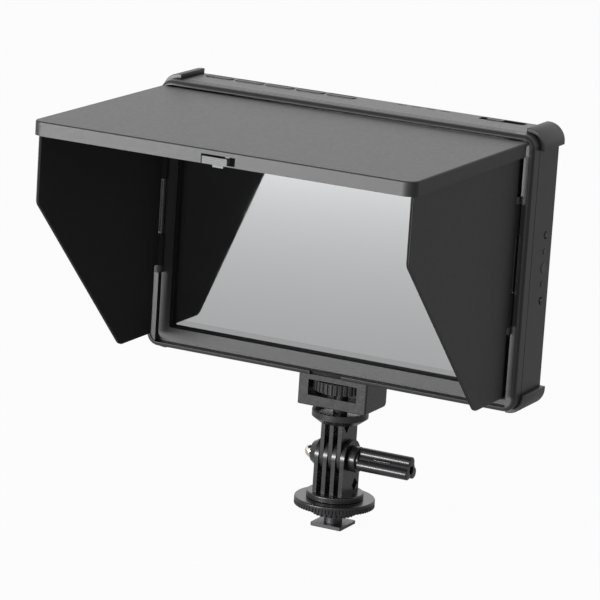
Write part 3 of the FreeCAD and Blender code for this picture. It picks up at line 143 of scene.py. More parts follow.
class MonitorStudio(bpy.types.PropertyGroup):
    """The camera and the studio light."""

    azimuth: FloatProperty(
        name="Camera azimuth", description="Turn of the camera to the screen's right", subtype="ANGLE",
        unit="ROTATION", default=math.radians(26.341))
    elevation: FloatProperty(
        name="Camera elevation", description="Height angle of the camera", subtype="ANGLE",
        unit="ROTATION", default=math.radians(13.499))
    roll: FloatProperty(
        name="Camera roll", description="Tilt of the camera about its view", subtype="ANGLE",
        unit="ROTATION", default=math.radians(3.71))
    distance: FloatProperty(
        name="Camera distance", description="From the camera to the point it looks at",
        subtype="DISTANCE", unit="LENGTH", default=2.02735)
    target: FloatVectorProperty(
        name="Camera target", description="Point that the camera looks at", subtype="TRANSLATION",
        unit="LENGTH", size=3, default=(-0.017718, -0.022, 0.126826))
    lens: FloatProperty(
        name="Lens", description="Focal length in millimetres on a 36 mm wide sensor", default=228.545)
    key_power: FloatProperty(
        name="Key lamp", description="Power of the soft lamp at the front left", subtype="POWER",
        unit="POWER", default=72.0)
    fill_power: FloatProperty(
        name="Fill lamp", description="Power of the small lamp beside the camera", subtype="POWER",
        unit="POWER", default=9.0)
    back_power: FloatProperty(
        name="Back lamp", description="Power of the soft lamp behind", subtype="POWER", unit="POWER",
        default=1.8)
    ambient: FloatProperty(
        name="Ambient level", description="How much the surroundings light the object", default=0.10)


# ---- selecting and editing ----
def only(obj):
    """Makes one object the only selected one, and the active one."""
    if bpy.context.mode != "OBJECT":
        bpy.ops.object.mode_set(mode="OBJECT")
    bpy.ops.object.select_all(action="DESELECT")
    obj.select_set(True)
    bpy.context.view_layer.objects.active = obj


def named(name):
    """The object that an add operator has just made, under its own name."""
    obj = bpy.context.object
    obj.name = name
    obj.data.name = name
    return obj


def block(name, low, high):
    """A cube primitive between two corners, with its size in the mesh."""
    low = Vector(low)
    high = Vector(high)
    bpy.ops.object.select_all(action="DESELECT")
    bpy.ops.mesh.primitive_cube_add(size=1, location=(low + high) / 2)
    obj = named(name)
    obj.scale = high - low
    settle_place(obj)
    return obj


def cylinder(name, radius, start, axis, length, sides=48, turn=0.0):
    """A cylinder primitive that starts at a point and runs along an axis."""
    axis = Vector(axis).normalized()
    centre = Vector(start) + axis * length / 2
    bpy.ops.object.select_all(action="DESELECT")
    bpy.ops.mesh.primitive_cylinder_add(vertices=sides, radius=radius, depth=length)
    obj = named(name)
    along = axis.to_track_quat("Z", "Y").to_matrix().to_4x4()
    obj.matrix_world = Matrix.Translation(centre) @ along @ Matrix.Rotation(turn, 4, "Z")
    settle_place(obj)
    return obj


def settle_place(obj):
    """Puts an object's place, turn and size into its mesh."""
    only(obj)
    bpy.ops.object.transform_apply(location=True, rotation=True, scale=True)


def modify(obj, kind, **values):
    """Adds a modifier with these values and applies it."""
    only(obj)
    bpy.ops.object.modifier_add(type=kind)
    modifier = obj.modifiers[-1]
    for key, value in values.items():
        setattr(modifier, key, value)
    bpy.ops.object.modifier_apply(modifier=modifier.name)


def combine(obj, other, operation):
    """Joins another solid to this one, or cuts it away, and removes the other."""
    modify(obj, "BOOLEAN", object=other, operation=operation, solver="EXACT")
    bpy.data.objects.remove(other)


def edit(obj):
    """Opens an object in edit mode with nothing selected."""
    only(obj)
    bpy.ops.object.mode_set(mode="EDIT")
    bpy.ops.mesh.select_all(action="DESELECT")


def pick(obj, kind, test):
    """In edit mode, selects the faces, edges or vertices whose middle and normal pass the test."""
    bpy.ops.mesh.select_mode(type=kind)
    bpy.ops.mesh.select_all(action="DESELECT")
    mesh = bmesh.from_edit_mesh(obj.data)
    mesh.normal_update()
    if kind == "FACE":
        for face in mesh.faces:
            face.select_set(test(face.calc_center_median(), face.normal))
    elif kind == "EDGE":
        for edge in mesh.edges:
            first, second = edge.verts
            edge.select_set(test((first.co + second.co) / 2, (second.co - first.co).normalized()))
    else:
        for vertex in mesh.verts:
            vertex.select_set(test(vertex.co, vertex.normal))
    bmesh.update_edit_mesh(obj.data)


def close_edit():
    """Merges doubles, turns the normals outwards and leaves edit mode."""
    bpy.ops.mesh.select_all(action="SELECT")
    bpy.ops.mesh.remove_doubles(threshold=DOUBLES)
    bpy.ops.mesh.normals_make_consistent(inside=False)
    bpy.ops.object.mode_set(mode="OBJECT")


def bevel_where(obj, width, segments, test):
    """Rounds the edges whose middle and direction pass the test."""
    edit(obj)
    pick(obj, "EDGE", test)
    bpy.ops.mesh.bevel(offset=width, segments=segments, affect="EDGES")
    close_edit()


def round_edges(obj, width, segments=3, angle=30):
    """Rounds every edge that is sharper than the angle."""
    modify(obj, "BEVEL", width=width, segments=segments, limit_method="ANGLE",
           angle_limit=math.radians(angle), harden_normals=False, use_clamp_overlap=True)


def finish_piece(obj, body, material, slot, *nodes, angle=35):
    """Gives a finished piece its shading, material, body and the nodes that it stands for."""
    only(obj)
    bpy.ops.object.shade_smooth_by_angle(angle=math.radians(angle))
    obj.data.materials.clear()
    obj.data.materials.append(material)
    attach(obj, body)
    if nodes:
        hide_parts(*nodes)
    return obj


# ---- materials ----
class Finish:
    """A material under construction: a Principled shader and helpers for its patterns."""

    def __init__(self, name, colour, roughness, **sockets):
        self.material = bpy.data.materials.new(name)
        self.material.use_nodes = True
        self.tree = self.material.node_tree
        self.shader = next(node for node in self.tree.nodes if node.type == "BSDF_PRINCIPLED")
        self.place = self.tree.nodes.new("ShaderNodeTexCoord").outputs["Object"]
        self.shader.inputs["Base Color"].default_value = (*colour, 1)
        self.shader.inputs["Roughness"].default_value = roughness
        for key, value in sockets.items():
            self.shader.inputs[key.replace("_", " ")].default_value = value

    def node(self, kind, **values):
        """A new shader node with these settings."""
        made = self.tree.nodes.new(kind)
        for key, value in values.items():
            setattr(made, key, value)
        return made

    def link(self, output, target):
        self.tree.links.new(output, target)

    def math(self, operation, *values):
        """The result of a math node on linked outputs and plain numbers."""
        made = self.node("ShaderNodeMath", operation=operation)
        for socket, value in zip(made.inputs, values):
            if isinstance(value, bpy.types.NodeSocket):
                self.link(value, socket)
            else:
                socket.default_value = value
        return made.outputs[0]

    def axes(self):
        """The place's X, Y and Z as separate outputs."""
        separate = self.node("ShaderNodeSeparateXYZ")
        self.link(self.place, separate.inputs["Vector"])
        return separate.outputs

    def noise(self, size, detail=2.0, stretch=(1, 1, 1)):
        """Noise of a given feature size in metres, stretched along the axes."""
        mapping = self.node("ShaderNodeMapping")
        mapping.inputs["Scale"].default_value = stretch
        self.link(self.place, mapping.inputs["Vector"])
        texture = self.node("ShaderNodeTexNoise")
        texture.inputs["Scale"].default_value = 1 / size
        texture.inputs["Detail"].default_value = detail
        self.link(mapping.outputs["Vector"], texture.inputs["Vector"])
        return texture.outputs["Fac"]

    def cells(self, size):
        """Distance to the middle of scattered cells of a given size."""
        texture = self.node("ShaderNodeTexVoronoi")
        texture.inputs["Scale"].default_value = 1 / size
        self.link(self.place, texture.inputs["Vector"])
        return texture.outputs["Distance"]

    def spread(self, value, low, high, start=0.3, end=0.7):
        """Maps a pattern onto a range of numbers."""
        ranged = self.node("ShaderNodeMapRange")
        ranged.inputs["From Min"].default_value = start
        ranged.inputs["From Max"].default_value = end
        ranged.inputs["To Min"].default_value = low
        ranged.inputs["To Max"].default_value = high
        self.link(value, ranged.inputs["Value"])
        return ranged.outputs["Result"]

    def shades(self, value, dark, light, target="Base Color"):
        """Mixes two colours by a pattern."""
        mix = self.node("ShaderNodeMix", data_type="RGBA")
        mix.inputs["A"].default_value = (*dark, 1)
        mix.inputs["B"].default_value = (*light, 1)
        self.link(value, mix.inputs["Factor"])
        self.link(mix.outputs["Result"], self.shader.inputs[target])

    def rough(self, value, low, high):
        """Lets a pattern drive the roughness over a range."""
        self.link(self.spread(value, low, high), self.shader.inputs["Roughness"])

    def bump(self, *heights):
        """Stacks bumps, each a pattern with its depth in metres."""
        normal = None
        for pattern, depth in heights:
            bump = self.node("ShaderNodeBump")
            bump.inputs["Distance"].default_value = depth
            self.link(pattern, bump.inputs["Height"])
            if normal is not None:
                self.link(normal, bump.inputs["Normal"])
            normal = bump.outputs["Normal"]
        self.link(normal, self.shader.inputs["Normal"])


def tinted(colour, factor):
    """A colour made darker or lighter."""
    return tuple(channel * factor for channel in colour)


def moulded(name, colour, roughness, grain, depth, variation=0.12, **sockets):
    """Moulded plastic or rubber: fine grain, slow shade changes and handling marks in its gloss."""
    cloud_size = 35 * MM
    finish = Finish(name, colour, roughness, **sockets)
    cloudy = finish.noise(cloud_size, 3.0)
    finish.shades(cloudy, tinted(colour, 1 - variation), tinted(colour, 1 + variation))
    finish.rough(finish.noise(grain * 5, 4.0), roughness - GLOSS_CHANGE, roughness + GLOSS_CHANGE)
    finish.bump((finish.cells(grain), depth), (finish.noise(grain * 3, 3.0), depth * 0.5))
    return finish.material


def flap_plastic(name, outside, inside, middle_x, grain, depth):
    """The flaps' plastic: satin on the outer face; on the inner face rougher and near black, the dark colour being
    painted shade inside the hood.
    """
    satin = 0.42
    dulling = 0.45            # what the inner face's roughness adds
    blend = (middle_x + 0.3 * MM, middle_x + 0.5 * MM)
    finish = Finish(name, outside, satin, Specular_IOR_Level=0.2)
    from_middle = finish.math("ABSOLUTE", finish.axes()["X"])
    outer = finish.spread(from_middle, 0.0, 1.0, *blend)
    # painted shade: the inner face takes the darker inside colour, standing in for the shade inside the hood
    finish.shades(outer, inside, outside)
    grainy = finish.spread(finish.noise(grain * 5, 4.0), satin - GLOSS_CHANGE, satin + GLOSS_CHANGE)
    total = finish.math("ADD", grainy, finish.spread(outer, dulling, 0.0, 0.0, 1.0))
    finish.link(total, finish.shader.inputs["Roughness"])
    finish.bump((finish.cells(grain), depth))
    return finish.material


def metal(name, colour, roughness, line=(1, 1, 14), depth=0.000006):
    """Metal with fine drawn or turned lines."""
    line_size = 0.4 * MM
    cloud_size = 10 * MM
    finish = Finish(name, colour, roughness, Metallic=1.0)
    lines = finish.noise(line_size, 3.0, line)
    finish.rough(lines, roughness - 0.06, roughness + 0.08)
    finish.shades(finish.noise(cloud_size, 2.0), tinted(colour, 0.93), tinted(colour, 1.03))
    finish.bump((lines, depth))
    return finish.material


def screen_glass(name, mirror, border, opening, margin):
    """Glass over a dark panel: a mirror with a duller printed border and faint smears."""
    blend = 0.1 * MM
    smear_size = 20 * MM
    finish = Finish(name, mirror, 0.03, Metallic=1.0)
    low, high = opening
    place = finish.axes()
    within = []
    for axis, index in (("X", 0), ("Z", 2)):
        centre = (low[index] + high[index]) / 2
        half = (high[index] - low[index]) / 2 - margin
        from_middle = finish.math("ABSOLUTE", finish.math("SUBTRACT", place[axis], centre))
        within.append(finish.spread(from_middle, 1.0, 0.0, half - blend, half + blend))
    finish.shades(finish.math("MULTIPLY", *within), border, mirror)
    finish.rough(finish.noise(smear_size, 5.0), 0.02, 0.05)
    return finish.material


def circuit_board(name):
    """Green board with faint tracks."""
    track_size = 4 * MM
    cloud_size = 10 * MM
    finish = Finish(name, (0.02, 0.12, 0.06), 0.4)
    tracks = finish.cells(track_size)
    finish.shades(finish.spread(tracks, 0, 1), (0.012, 0.085, 0.04), (0.03, 0.15, 0.075))
    finish.rough(finish.noise(cloud_size), 0.32, 0.45)
    finish.bump((tracks, 0.00002))
    return finish.material


def seen_rays(tree):
    """One for camera, glossy and transmission rays, and nought for the rest."""
    path = tree.nodes.new("ShaderNodeLightPath")
    total = path.outputs["Is Camera Ray"]
    for name in ("Is Glossy Ray", "Is Transmission Ray"):
        add = tree.nodes.new("ShaderNodeMath")
        add.operation = "MAXIMUM"
        tree.links.new(total, add.inputs[0])
        tree.links.new(path.outputs[name], add.inputs[1])
        total = add.outputs[0]
    return total


def show_white(finish, seen, mirrored):
    """Lets a floor look white to the eye, and partly in reflections, and keep some of its shadows."""
    glow = finish.node("ShaderNodeEmission")
    glow.inputs["Color"].default_value = (1, 1, 1, 1)
    rays = finish.node("ShaderNodeLightPath").outputs
    output = next(node for node in finish.tree.nodes if node.type == "OUTPUT_MATERIAL")
    bounced = finish.math("MAXIMUM", rays["Is Glossy Ray"], rays["Is Transmission Ray"])
    total = finish.math("MULTIPLY_ADD", rays["Is Camera Ray"], seen, 0)
    total = finish.math("MULTIPLY_ADD", bounced, mirrored, total)
    mix = finish.node("ShaderNodeMixShader")
    finish.link(total, mix.inputs["Fac"])
    finish.link(finish.shader.outputs["BSDF"], mix.inputs[1])
    finish.link(glow.outputs["Emission"], mix.inputs[2])
    finish.link(mix.outputs["Shader"], output.inputs["Surface"])


finishes = {}


def build_finishes(settings):
    """Makes every material once, keyed by the record's material slots."""
    grain = settings.grain
    depth = settings.grain_depth
    case = tuple(settings.case_colour)
    hood = tuple(settings.hood_colour)
    rubber = tuple(settings.rubber_colour)
    mount = tuple(settings.mount_colour)
    low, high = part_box("cover_glass")
    border = 4.2 * MM         # the printed border's width inside the opening
    hidden = Vector((GLASS_LAP, 0, GLASS_LAP))
    flap_half_wall = 0.9 * MM
    flap_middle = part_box("right_flap")[1].x - flap_half_wall
    finishes.update(
        case_plastic=moulded("case_plastic", case, 0.38, grain, depth, Specular_IOR_Level=0.27),
        gasket_foam=moulded("gasket_foam", (0.004, 0.004, 0.004), 0.95, grain, depth * 0.5,
                            Specular_IOR_Level=0.1),
        guard_rubber=moulded("guard_rubber", rubber, 0.50, grain * 0.8, depth * 0.8),
        screen_glass=screen_glass("screen_glass", tuple(settings.screen_colour),
                                  tuple(settings.border_colour), (low + hidden, high - hidden), border),
        lcd_glass=moulded("lcd_glass", (0.01, 0.01, 0.012), 0.15, 0.0002, 0.000002),
        light_guide=moulded("light_guide", (0.72, 0.73, 0.73), 0.5, 0.0006, 0.00001, 0.04),
        circuit_board=circuit_board("circuit_board"),
        chip_plastic=moulded("chip_plastic", (0.022, 0.022, 0.024), 0.5, 0.0003, 0.00001),
        bright_metal=metal("bright_metal", (0.62, 0.62, 0.63), 0.28),
        dark_metal=metal("dark_metal", (0.06, 0.06, 0.065), 0.38),
        pin_steel=metal("pin_steel", (0.10, 0.10, 0.105), 0.30, (1, 1, 6)),
        key_plastic=moulded("key_plastic", tinted(case, 0.92), 0.45, grain * 0.7, depth * 0.6),
        hood_plastic=moulded("hood_plastic", hood, 0.42, grain, depth * 0.7, 0.06,
                             Specular_IOR_Level=0.25),
        # the flaps' inner colour, tinted(hood, 0.3), is painted shade inside the hood
        flap_plastic=flap_plastic("flap_plastic", hood, tinted(hood, 0.3), flap_middle, grain, depth * 0.7),
        battery_plate_plastic=moulded("battery_plate_plastic", tinted(case, 0.9), 0.48, grain, depth),
        contact_brass=metal("contact_brass", (0.70, 0.54, 0.22), 0.25),
        mount_plastic=moulded("mount_plastic", mount, 0.27, grain, depth * 0.05, Specular_IOR_Level=0.32),
        nut_chrome=metal("nut_chrome", tuple(settings.chrome_colour), 0.14, (14, 1, 1), 0.000002),
        foot_metal=metal("foot_metal", (0.055, 0.055, 0.058), 0.34, (14, 1, 1)),
    )


def slot_of(node):
    """The record's material slot of a CAD node."""
    for part in frame["record"]["subparts"]:
        if part["node"] == node:
            return part["material_slot"]
    raise KeyError(node)


# ---- operators: one for each piece or group of like pieces ----
class MONITOR_OT_finish_solids(bpy.types.Operator):
    """Gives every solid of the frame the finish of its material slot"""

    bl_idname = "monitor.finish_solids"
    bl_label = "Finish the Solids"

    def execute(self, context):
        build_finishes(context.scene.monitor_finish)
        for name, obj in frame["nodes"].items():
            obj.data.materials.clear()
            finish = "flap_plastic" if name in ("left_flap", "right_flap") else slot_of(name)
            obj.data.materials.append(finishes[finish])
        return {"FINISHED"}


class MONITOR_OT_flap_springs(bpy.types.Operator):
    """Winds the two springs on the flaps' pins"""

    bl_idname = "monitor.flap_springs"
    bl_label = "Flap Springs"

    def execute(self, context):
        detail = context.scene.monitor_detail
        for side in ("left", "right"):
            node = side + "_flap_spring"
            low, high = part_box(node)
            centre = middle(node)
            coil_radius = (high.x - low.x) / 2 - detail.wire
            height = high.z - low.z - 2 * detail.wire
            turns = int(height / detail.coil_pitch)
            bpy.ops.object.select_all(action="DESELECT")
            bpy.ops.mesh.primitive_circle_add(vertices=8, radius=detail.wire)
            coil = named(side + "_flap_coil")
            edit(coil)
            bpy.ops.mesh.select_all(action="SELECT")
            bpy.ops.transform.rotate(value=math.pi / 2, orient_axis="X", center_override=(0, 0, 0))
            bpy.ops.transform.translate(value=(coil_radius, 0, 0))
            bpy.ops.object.mode_set(mode="OBJECT")
            modify(coil, "SCREW", angle=2 * math.pi, screw_offset=detail.coil_pitch, iterations=turns,
                   steps=18, render_steps=18, use_merge_vertices=True)
            edit(coil)
            bpy.ops.mesh.select_mode(type="EDGE")
            bpy.ops.mesh.select_non_manifold()
            bpy.ops.mesh.fill_holes(sides=0)
            close_edit()
            coil.location = (centre.x, centre.y, centre.z - turns * detail.coil_pitch / 2)
            settle_place(coil)
            finish_piece(coil, "monitor", finishes["pin_steel"], "pin_steel", node, angle=60)
        return {"FINISHED"}


class MONITOR_OT_guards(bpy.types.Operator):
    """Models the four rubber corner guards with soft edges"""

    bl_idname = "monitor.guards"
    bl_label = "Corner Guards"

    def execute(self, context):
        detail = context.scene.monitor_detail
        case_low, case_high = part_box("rear_shell")
        case_corner = 7.0 * MM
        for level, z_side in (("top", 1), ("bottom", -1)):
            for side, x_side in (("left", -1), ("right", 1)):
                node = "guard_" + level + "_" + side
                low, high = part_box(node)
                guard = block(node + "_rubber", low, high)
                outer_x = high.x if x_side > 0 else low.x
                outer_z = high.z if z_side > 0 else low.z
                case_x = case_high.x if x_side > 0 else case_low.x
                case_z = case_high.z if z_side > 0 else case_low.z
                thickness = abs(outer_x - case_x)
                self.round_corner(guard, outer_x, outer_z, case_corner + thickness)
                core = block("core", (case_low.x, low.y - case_corner, case_low.z), case_high)
                self.round_corner(core, case_x, case_z, case_corner)
                combine(guard, core, "DIFFERENCE")
                round_edges(guard, detail.guard_round, 4)
                finish_piece(guard, "monitor", finishes["guard_rubber"], "guard_rubber", node)
        return {"FINISHED"}

    @staticmethod
    def round_corner(obj, x, z, radius):
        """Rounds the one long edge that runs along the depth at a corner."""
        bevel_where(obj, radius, 14, lambda place, run: abs(run.y) > ALONG
                    and abs(place.x - x) < ON_EDGE and abs(place.z - z) < ON_EDGE)


class MONITOR_OT_screen_gasket(bpy.types.Operator):
    """Lines the screen opening with a thin matt gasket in front of the glass"""

    bl_idname = "monitor.screen_gasket"
    bl_label = "Screen Gasket"

    def execute(self, context):
        thickness = context.scene.monitor_detail.gasket
        low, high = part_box("cover_glass")
        play = 0.02 * MM
        reach = 3.5 * MM          # how far the gasket stands out of the glass
        lap = GLASS_LAP + play
        front = low.y - reach
        back = low.y - play
        corner = 1.5 * MM
        gasket = self.rounded_block("screen_gasket", low, high, lap, front, back, corner)
        hollow = self.rounded_block("hollow", low, high, lap + thickness, front - MM, back + MM,
                                    corner - thickness)
        combine(gasket, hollow, "DIFFERENCE")
        finish_piece(gasket, "monitor", finishes["gasket_foam"], "guard_rubber")
        return {"FINISHED"}

    @staticmethod
    def rounded_block(name, low, high, lap, front, back, corner):
        """A block over the opening, this far inside the glass, with its four corners rounded."""
        made = block(name, (low.x + lap, front, low.z + lap), (high.x - lap, back, high.z - lap))
        bevel_where(made, corner, 6, lambda place, run: abs(run.y) > ALONG)
        return made


class MONITOR_OT_top_keys(bpy.types.Operator):
    """Models the five press keys on the top with dished caps"""

    bl_idname = "monitor.top_keys"
    bl_label = "Top Keys"

    def execute(self, context):
        detail = context.scene.monitor_detail
        end_round = 2.2 * MM
        rim = 0.7 * MM
        slope = 0.5 * MM
        cap_edge = 0.22 * MM
        flange = 0.8 * MM
        stem_radius = 1.4 * MM
        stem_from_back = 2.8 * MM
        sink = 0.2 * MM           # how deep the cap starts inside its flange
        under_top = 2.3 * MM      # the flange lies this far under the case's top face
        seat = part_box("rear_shell")[1].z - under_top
        for number in range(1, 6):
            node = "function_key_" + str(number)
            low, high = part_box(node)
            cap = block(node + "_cap", (low.x + flange, low.y + flange, seat - sink),
                        (high.x - flange, high.y, high.z))
            edit(cap)
            pick(cap, "EDGE", lambda place, run: abs(run.z) > ALONG)
            bpy.ops.mesh.bevel(offset=end_round, segments=8, affect="EDGES")
            pick(cap, "FACE", lambda place, normal: normal.z > ALONG)
            bpy.ops.mesh.inset(thickness=rim)
            bpy.ops.mesh.inset(thickness=slope, depth=-detail.key_dish)
            close_edit()
            round_edges(cap, cap_edge, 3, 20)
            plate = block("flange", (low.x, low.y, seat - flange), (high.x, high.y, seat))
            combine(cap, plate, "UNION")
            stem_foot = (middle(node).x, high.y - stem_from_back, low.z)
            stem = cylinder("stem", stem_radius, stem_foot, (0, 0, 1), seat - flange / 2 - low.z, 24)
            combine(cap, stem, "UNION")
            finish_piece(cap, node, finishes["key_plastic"], "key_plastic", node)
        return {"FINISHED"}


class MONITOR_OT_side_keys(bpy.types.Operator):
    """Models the first and the last side key with their arrow-shaped caps"""

    bl_idname = "monitor.side_keys"
    bl_label = "Arrow Keys"

    def execute(self, context):
        cap_inset = 0.55 * MM
        corner = 0.35 * MM
        cap_edge = 0.12 * MM
        flange_thickness = 0.8 * MM
        for number, turn in ((1, 0.0), (5, math.pi)):
            node = "side_key_" + str(number)
            low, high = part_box(node)
            centre = middle(node)
            radius = (high.z - low.z) / 2
            start = (low.x, centre.y, centre.z)
            cap = cylinder(node + "_arrow", radius - cap_inset, start, (1, 0, 0), high.x - low.x, 3, turn)
            bevel_where(cap, corner, 4, lambda place, run: abs(run.x) > ALONG)
            round_edges(cap, cap_edge, 2)
            flange = cylinder("flange", radius, start, (1, 0, 0), flange_thickness, 40)
            combine(cap, flange, "UNION")
            finish_piece(cap, node, finishes["key_plastic"], "key_plastic", node)
        return {"FINISHED"}


class MONITOR_OT_bolt_handle(bpy.types.Operator):
    """Models the three-lobed handle of the tilt bolt, with its round base and hollow end"""

    bl_idname = "monitor.bolt_handle"
    bl_label = "Bolt Handle"

    def execute(self, context):
        detail = context.scene.monitor_detail
        low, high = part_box("bolt_handle")
        axis = Vector(frame_joint("handle_turn")["pos_m"])
        base_length = 4.4 * MM
        base_gap = 1.0 * MM           # between the base and the lobes, where the neck shows
        neck_radius = 5.6 * MM
        core_radius = 4.4 * MM
        core_inset = 0.2 * MM         # the core ends this far before the lobes
        core_overlap = 1.5 * MM
        lobe_radius = 3.3 * MM
        lobe_reach = 3.8 * MM
        rib_radius = 0.6 * MM
        rib_start = 9 * MM
        rib_length = 10 * MM
        hole_radius = 2.4 * MM
        hole_depth = 12 * MM
        cutter_length = 20 * MM
        grip_start = low.x + base_length + base_gap
        length = high.x - grip_start

        def round_bar(name, radius, start, run, turn=0.0, reach=0.0, sides=32):
            """A bar along the handle, moved out from its axis at an angle."""
            y = axis.y + reach * math.cos(math.radians(turn))
            z = axis.z + reach * math.sin(math.radians(turn))
            return cylinder(name, radius, (start, y, z), (1, 0, 0), run, sides)

        handle = round_bar("tilt_handle", core_radius, grip_start - core_overlap,
                           length + core_overlap - core_inset, sides=64)
        for turn in (-35, 85, 205):
            lobe = round_bar("lobe", lobe_radius, grip_start, length, turn, lobe_reach, 64)
            round_edges(lobe, detail.handle_round, 4)
            combine(handle, lobe, "UNION")
        for turn in (25, 145, 265):
            rib = round_bar("rib", rib_radius, grip_start + rib_start, rib_length, turn, core_radius)
            round_edges(rib, rib_radius / 3, 3)
            combine(handle, rib, "UNION")
        neck = round_bar("neck", neck_radius, low.x + base_gap, base_length, sides=64)
        combine(handle, neck, "UNION")
        base = round_bar("base", (high.z - low.z) / 2, low.x, base_length, sides=64)
        round_edges(base, detail.handle_round, 4)
        combine(handle, base, "UNION")
        end_hole = round_bar("end_hole", hole_radius, high.x - hole_depth, cutter_length, sides=48)
        combine(handle, end_hole, "DIFFERENCE")
        finish_piece(handle, "handle", finishes["mount_plastic"], "mount_plastic", "bolt_handle")
        return {"FINISHED"}


class MONITOR_OT_acorn_nut(bpy.types.Operator):
    """Models the six-sided acorn nut with its dome, sunk in the clevis's boss"""

    bl_idname = "monitor.acorn_nut"
    bl_label = "Acorn Nut"

    def execute(self, context):
        low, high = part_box("acorn_nut")
        centre = middle("acorn_nut")
        edge = 0.25 * MM
        hexagon_lead = 0.5 * MM       # the hexagon starts this far before the dome's middle
        radius = (high.y - low.y) / 2
        dome_radius = radius - edge
        root = low.x + dome_radius
        nut = cylinder("nut_hexagon", radius, (root - hexagon_lead, centre.y, centre.z), (1, 0, 0),
                       high.x - root + hexagon_lead, 6, math.radians(30))
        round_edges(nut, edge, 3)
        bpy.ops.object.select_all(action="DESELECT")
        bpy.ops.mesh.primitive_uv_sphere_add(segments=40, ring_count=20, radius=dome_radius,
                                             location=(root, centre.y, centre.z))
        dome = named("dome")
        settle_place(dome)
        combine(nut, dome, "UNION")
        finish_piece(nut, "foot", finishes["nut_chrome"], "nut_chrome", "acorn_nut")
        return {"FINISHED"}


class MONITOR_OT_socket_contacts(bpy.types.Operator):
    """Models the tongue and contacts inside each video socket"""

    bl_idname = "monitor.socket_contacts"
    bl_label = "Socket Contacts"

    def execute(self, context):
        count = context.scene.monitor_detail.contact_count
        pitch = 1.0 * MM
        mouth_inset = 2.2 * MM
        back_inset = 1.0 * MM
        tongue_edge = 0.15 * MM
        tongue_half = Vector((0, 0.55 * MM, 5.4 * MM))
        pin_half = Vector((0, 0.68 * MM, 0.22 * MM))
        end_inset = Vector((0.4 * MM, 0, 0))      # the pins are shorter than the tongue
        for number in (1, 2):
            node = "video_socket_" + str(number)
            low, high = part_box(node)
            centre = middle(node)
            front = Vector((low.x + mouth_inset, centre.y, centre.z))
            back = Vector((high.x - back_inset, centre.y, centre.z))
            tongue = block(node + "_tongue", front - tongue_half, back + tongue_half)
            round_edges(tongue, tongue_edge, 2)
            finish_piece(tongue, "monitor", finishes["chip_plastic"], "chip_plastic")
            strip = None
            for index in range(count):
                offset = Vector((0, 0, (index - (count - 1) / 2) * pitch))
                pin = block("pin", front + end_inset + offset - pin_half,
                            back - end_inset + offset + pin_half)
                if strip is None:
                    strip = pin
                else:
                    only(strip)
                    pin.select_set(True)
                    bpy.ops.object.join()
            strip.name = node + "_pins"
            finish_piece(strip, "monitor", finishes["contact_brass"], "contact_brass")
        return {"FINISHED"}


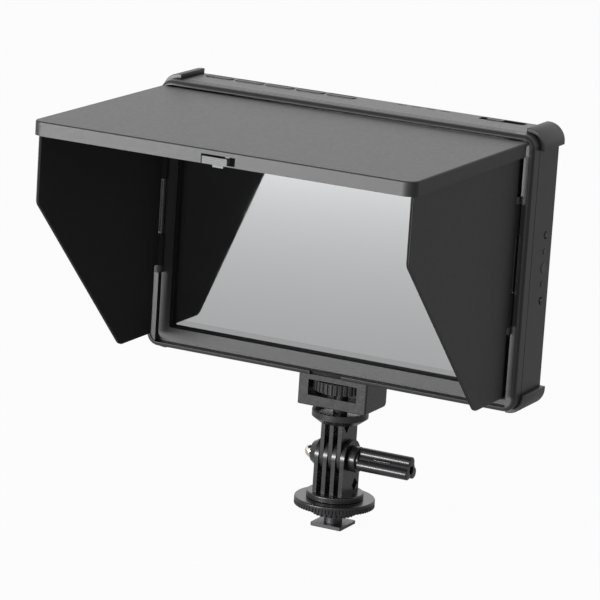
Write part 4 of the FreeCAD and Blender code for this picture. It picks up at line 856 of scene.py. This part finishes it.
class MONITOR_OT_studio(bpy.types.Operator):
    """Sets the floor, the lamps, the surroundings and the camera"""

    bl_idname = "monitor.studio"
    bl_label = "Studio"

    def execute(self, context):
        studio = context.scene.monitor_studio
        context.scene.view_settings.view_transform = "Standard"
        self.floor()
        self.surroundings(studio.ambient)
        target = Vector(studio.target)
        for name, offset, size, power in (
                ("key_lamp", (-0.82, -1.62, 0.03), (1.3, 0.3), studio.key_power),
                ("fill_lamp", (0.42, -1.72, 0.30), (0.45, 0.45), studio.fill_power),
                ("back_lamp", (-0.9, 1.5, 0.7), (1.0, 1.0), studio.back_power)):
            self.lamp(name, target + Vector(offset), target, size, power)
        self.camera(studio, target)
        return {"FINISHED"}

    @staticmethod
    def floor():
        """A wide sheet of pale paper."""
        bpy.ops.object.select_all(action="DESELECT")
        bpy.ops.mesh.primitive_plane_add(size=12, location=(0, 0, 0))
        floor = named("floor")
        finish = Finish("floor_paper", (0.86, 0.86, 0.86), 0.9)
        finish.shades(finish.noise(0.4), (0.85, 0.85, 0.85), (0.87, 0.87, 0.87))
        show_white(finish, 0.96, 0.35)
        floor.data.materials.append(finish.material)

    @staticmethod
    def surroundings(level):
        """A world that lights softly at this level and shows white to seen rays."""
        world = bpy.data.worlds.new("studio_surroundings")
        world.use_nodes = True
        bpy.context.scene.world = world
        tree = world.node_tree
        background = next(node for node in tree.nodes if node.type == "BACKGROUND")
        output = next(node for node in tree.nodes if node.type == "OUTPUT_WORLD")
        background.inputs["Color"].default_value = (1, 1, 1, 1)
        background.inputs["Strength"].default_value = level
        white = tree.nodes.new("ShaderNodeBackground")
        white.inputs["Color"].default_value = (1, 1, 1, 1)
        mix = tree.nodes.new("ShaderNodeMixShader")
        tree.links.new(seen_rays(tree), mix.inputs["Fac"])
        tree.links.new(background.outputs["Background"], mix.inputs[1])
        tree.links.new(white.outputs["Background"], mix.inputs[2])
        tree.links.new(mix.outputs["Shader"], output.inputs["Surface"])

    @staticmethod
    def lamp(name, place, target, size, power):
        """A soft rectangular lamp that points at the target."""
        bpy.ops.object.light_add(type="AREA", location=place)
        lamp = bpy.context.object
        lamp.name = name
        lamp.data.shape = "RECTANGLE"
        lamp.data.size, lamp.data.size_y = size
        lamp.data.energy = power
        lamp.rotation_euler = (target - place).to_track_quat("-Z", "Y").to_euler()

    @staticmethod
    def camera(studio, target):
        """The camera, turned about the target and then rolled about its view."""
        azimuth = studio.azimuth
        level = math.cos(studio.elevation)
        back = Vector((math.sin(azimuth) * level, -math.cos(azimuth) * level, math.sin(studio.elevation)))
        right = Vector((0, 0, 1)).cross(back).normalized()
        up = back.cross(right)
        turned_right = right * math.cos(studio.roll) + up * math.sin(studio.roll)
        turned_up = up * math.cos(studio.roll) - right * math.sin(studio.roll)
        bpy.ops.object.camera_add()
        camera = bpy.context.object
        camera.name = "main_camera"
        camera.data.sensor_width = 36
        camera.data.lens = studio.lens
        camera.data.clip_end = 50
        axes = Matrix((turned_right, turned_up, back)).transposed().to_4x4()
        camera.matrix_world = Matrix.Translation(target + back * studio.distance) @ axes
        bpy.context.scene.camera = camera


OPERATORS = (
    MONITOR_OT_finish_solids,
    MONITOR_OT_flap_springs,
    MONITOR_OT_guards,
    MONITOR_OT_screen_gasket,
    MONITOR_OT_top_keys,
    MONITOR_OT_side_keys,
    MONITOR_OT_bolt_handle,
    MONITOR_OT_acorn_nut,
    MONITOR_OT_socket_contacts,
    MONITOR_OT_studio,
)


class MONITOR_PT_panel(bpy.types.Panel):
    """The steps that dress the monitor, in order"""

    bl_idname = "MONITOR_PT_panel"
    bl_label = "Field Monitor"
    bl_space_type = "VIEW_3D"
    bl_region_type = "UI"
    bl_category = "Monitor"

    def draw(self, context):
        scene = context.scene
        for settings in (scene.monitor_finish, scene.monitor_detail, scene.monitor_studio):
            box = self.layout.box()
            for name in settings.__annotations__:
                box.prop(settings, name)
        for operator in OPERATORS:
            self.layout.operator(operator.bl_idname)


SETTINGS = (MonitorFinish, MonitorDetail, MonitorStudio)


def register():
    for group in SETTINGS + OPERATORS + (MONITOR_PT_panel,):
        bpy.utils.register_class(group)
    bpy.types.Scene.monitor_finish = PointerProperty(type=MonitorFinish)
    bpy.types.Scene.monitor_detail = PointerProperty(type=MonitorDetail)
    bpy.types.Scene.monitor_studio = PointerProperty(type=MonitorStudio)


def unregister():
    del bpy.types.Scene.monitor_studio
    del bpy.types.Scene.monitor_detail
    del bpy.types.Scene.monitor_finish
    for group in reversed(SETTINGS + OPERATORS + (MONITOR_PT_panel,)):
        bpy.utils.unregister_class(group)


def main():
    """Registers the settings and steps, and dresses the monitor."""
    register()
    bpy.ops.object.select_all(action="DESELECT")
    for operator in OPERATORS:
        group, name = operator.bl_idname.split(".")
        getattr(getattr(bpy.ops, group), name)()


if __name__ == "__main__":
    main()
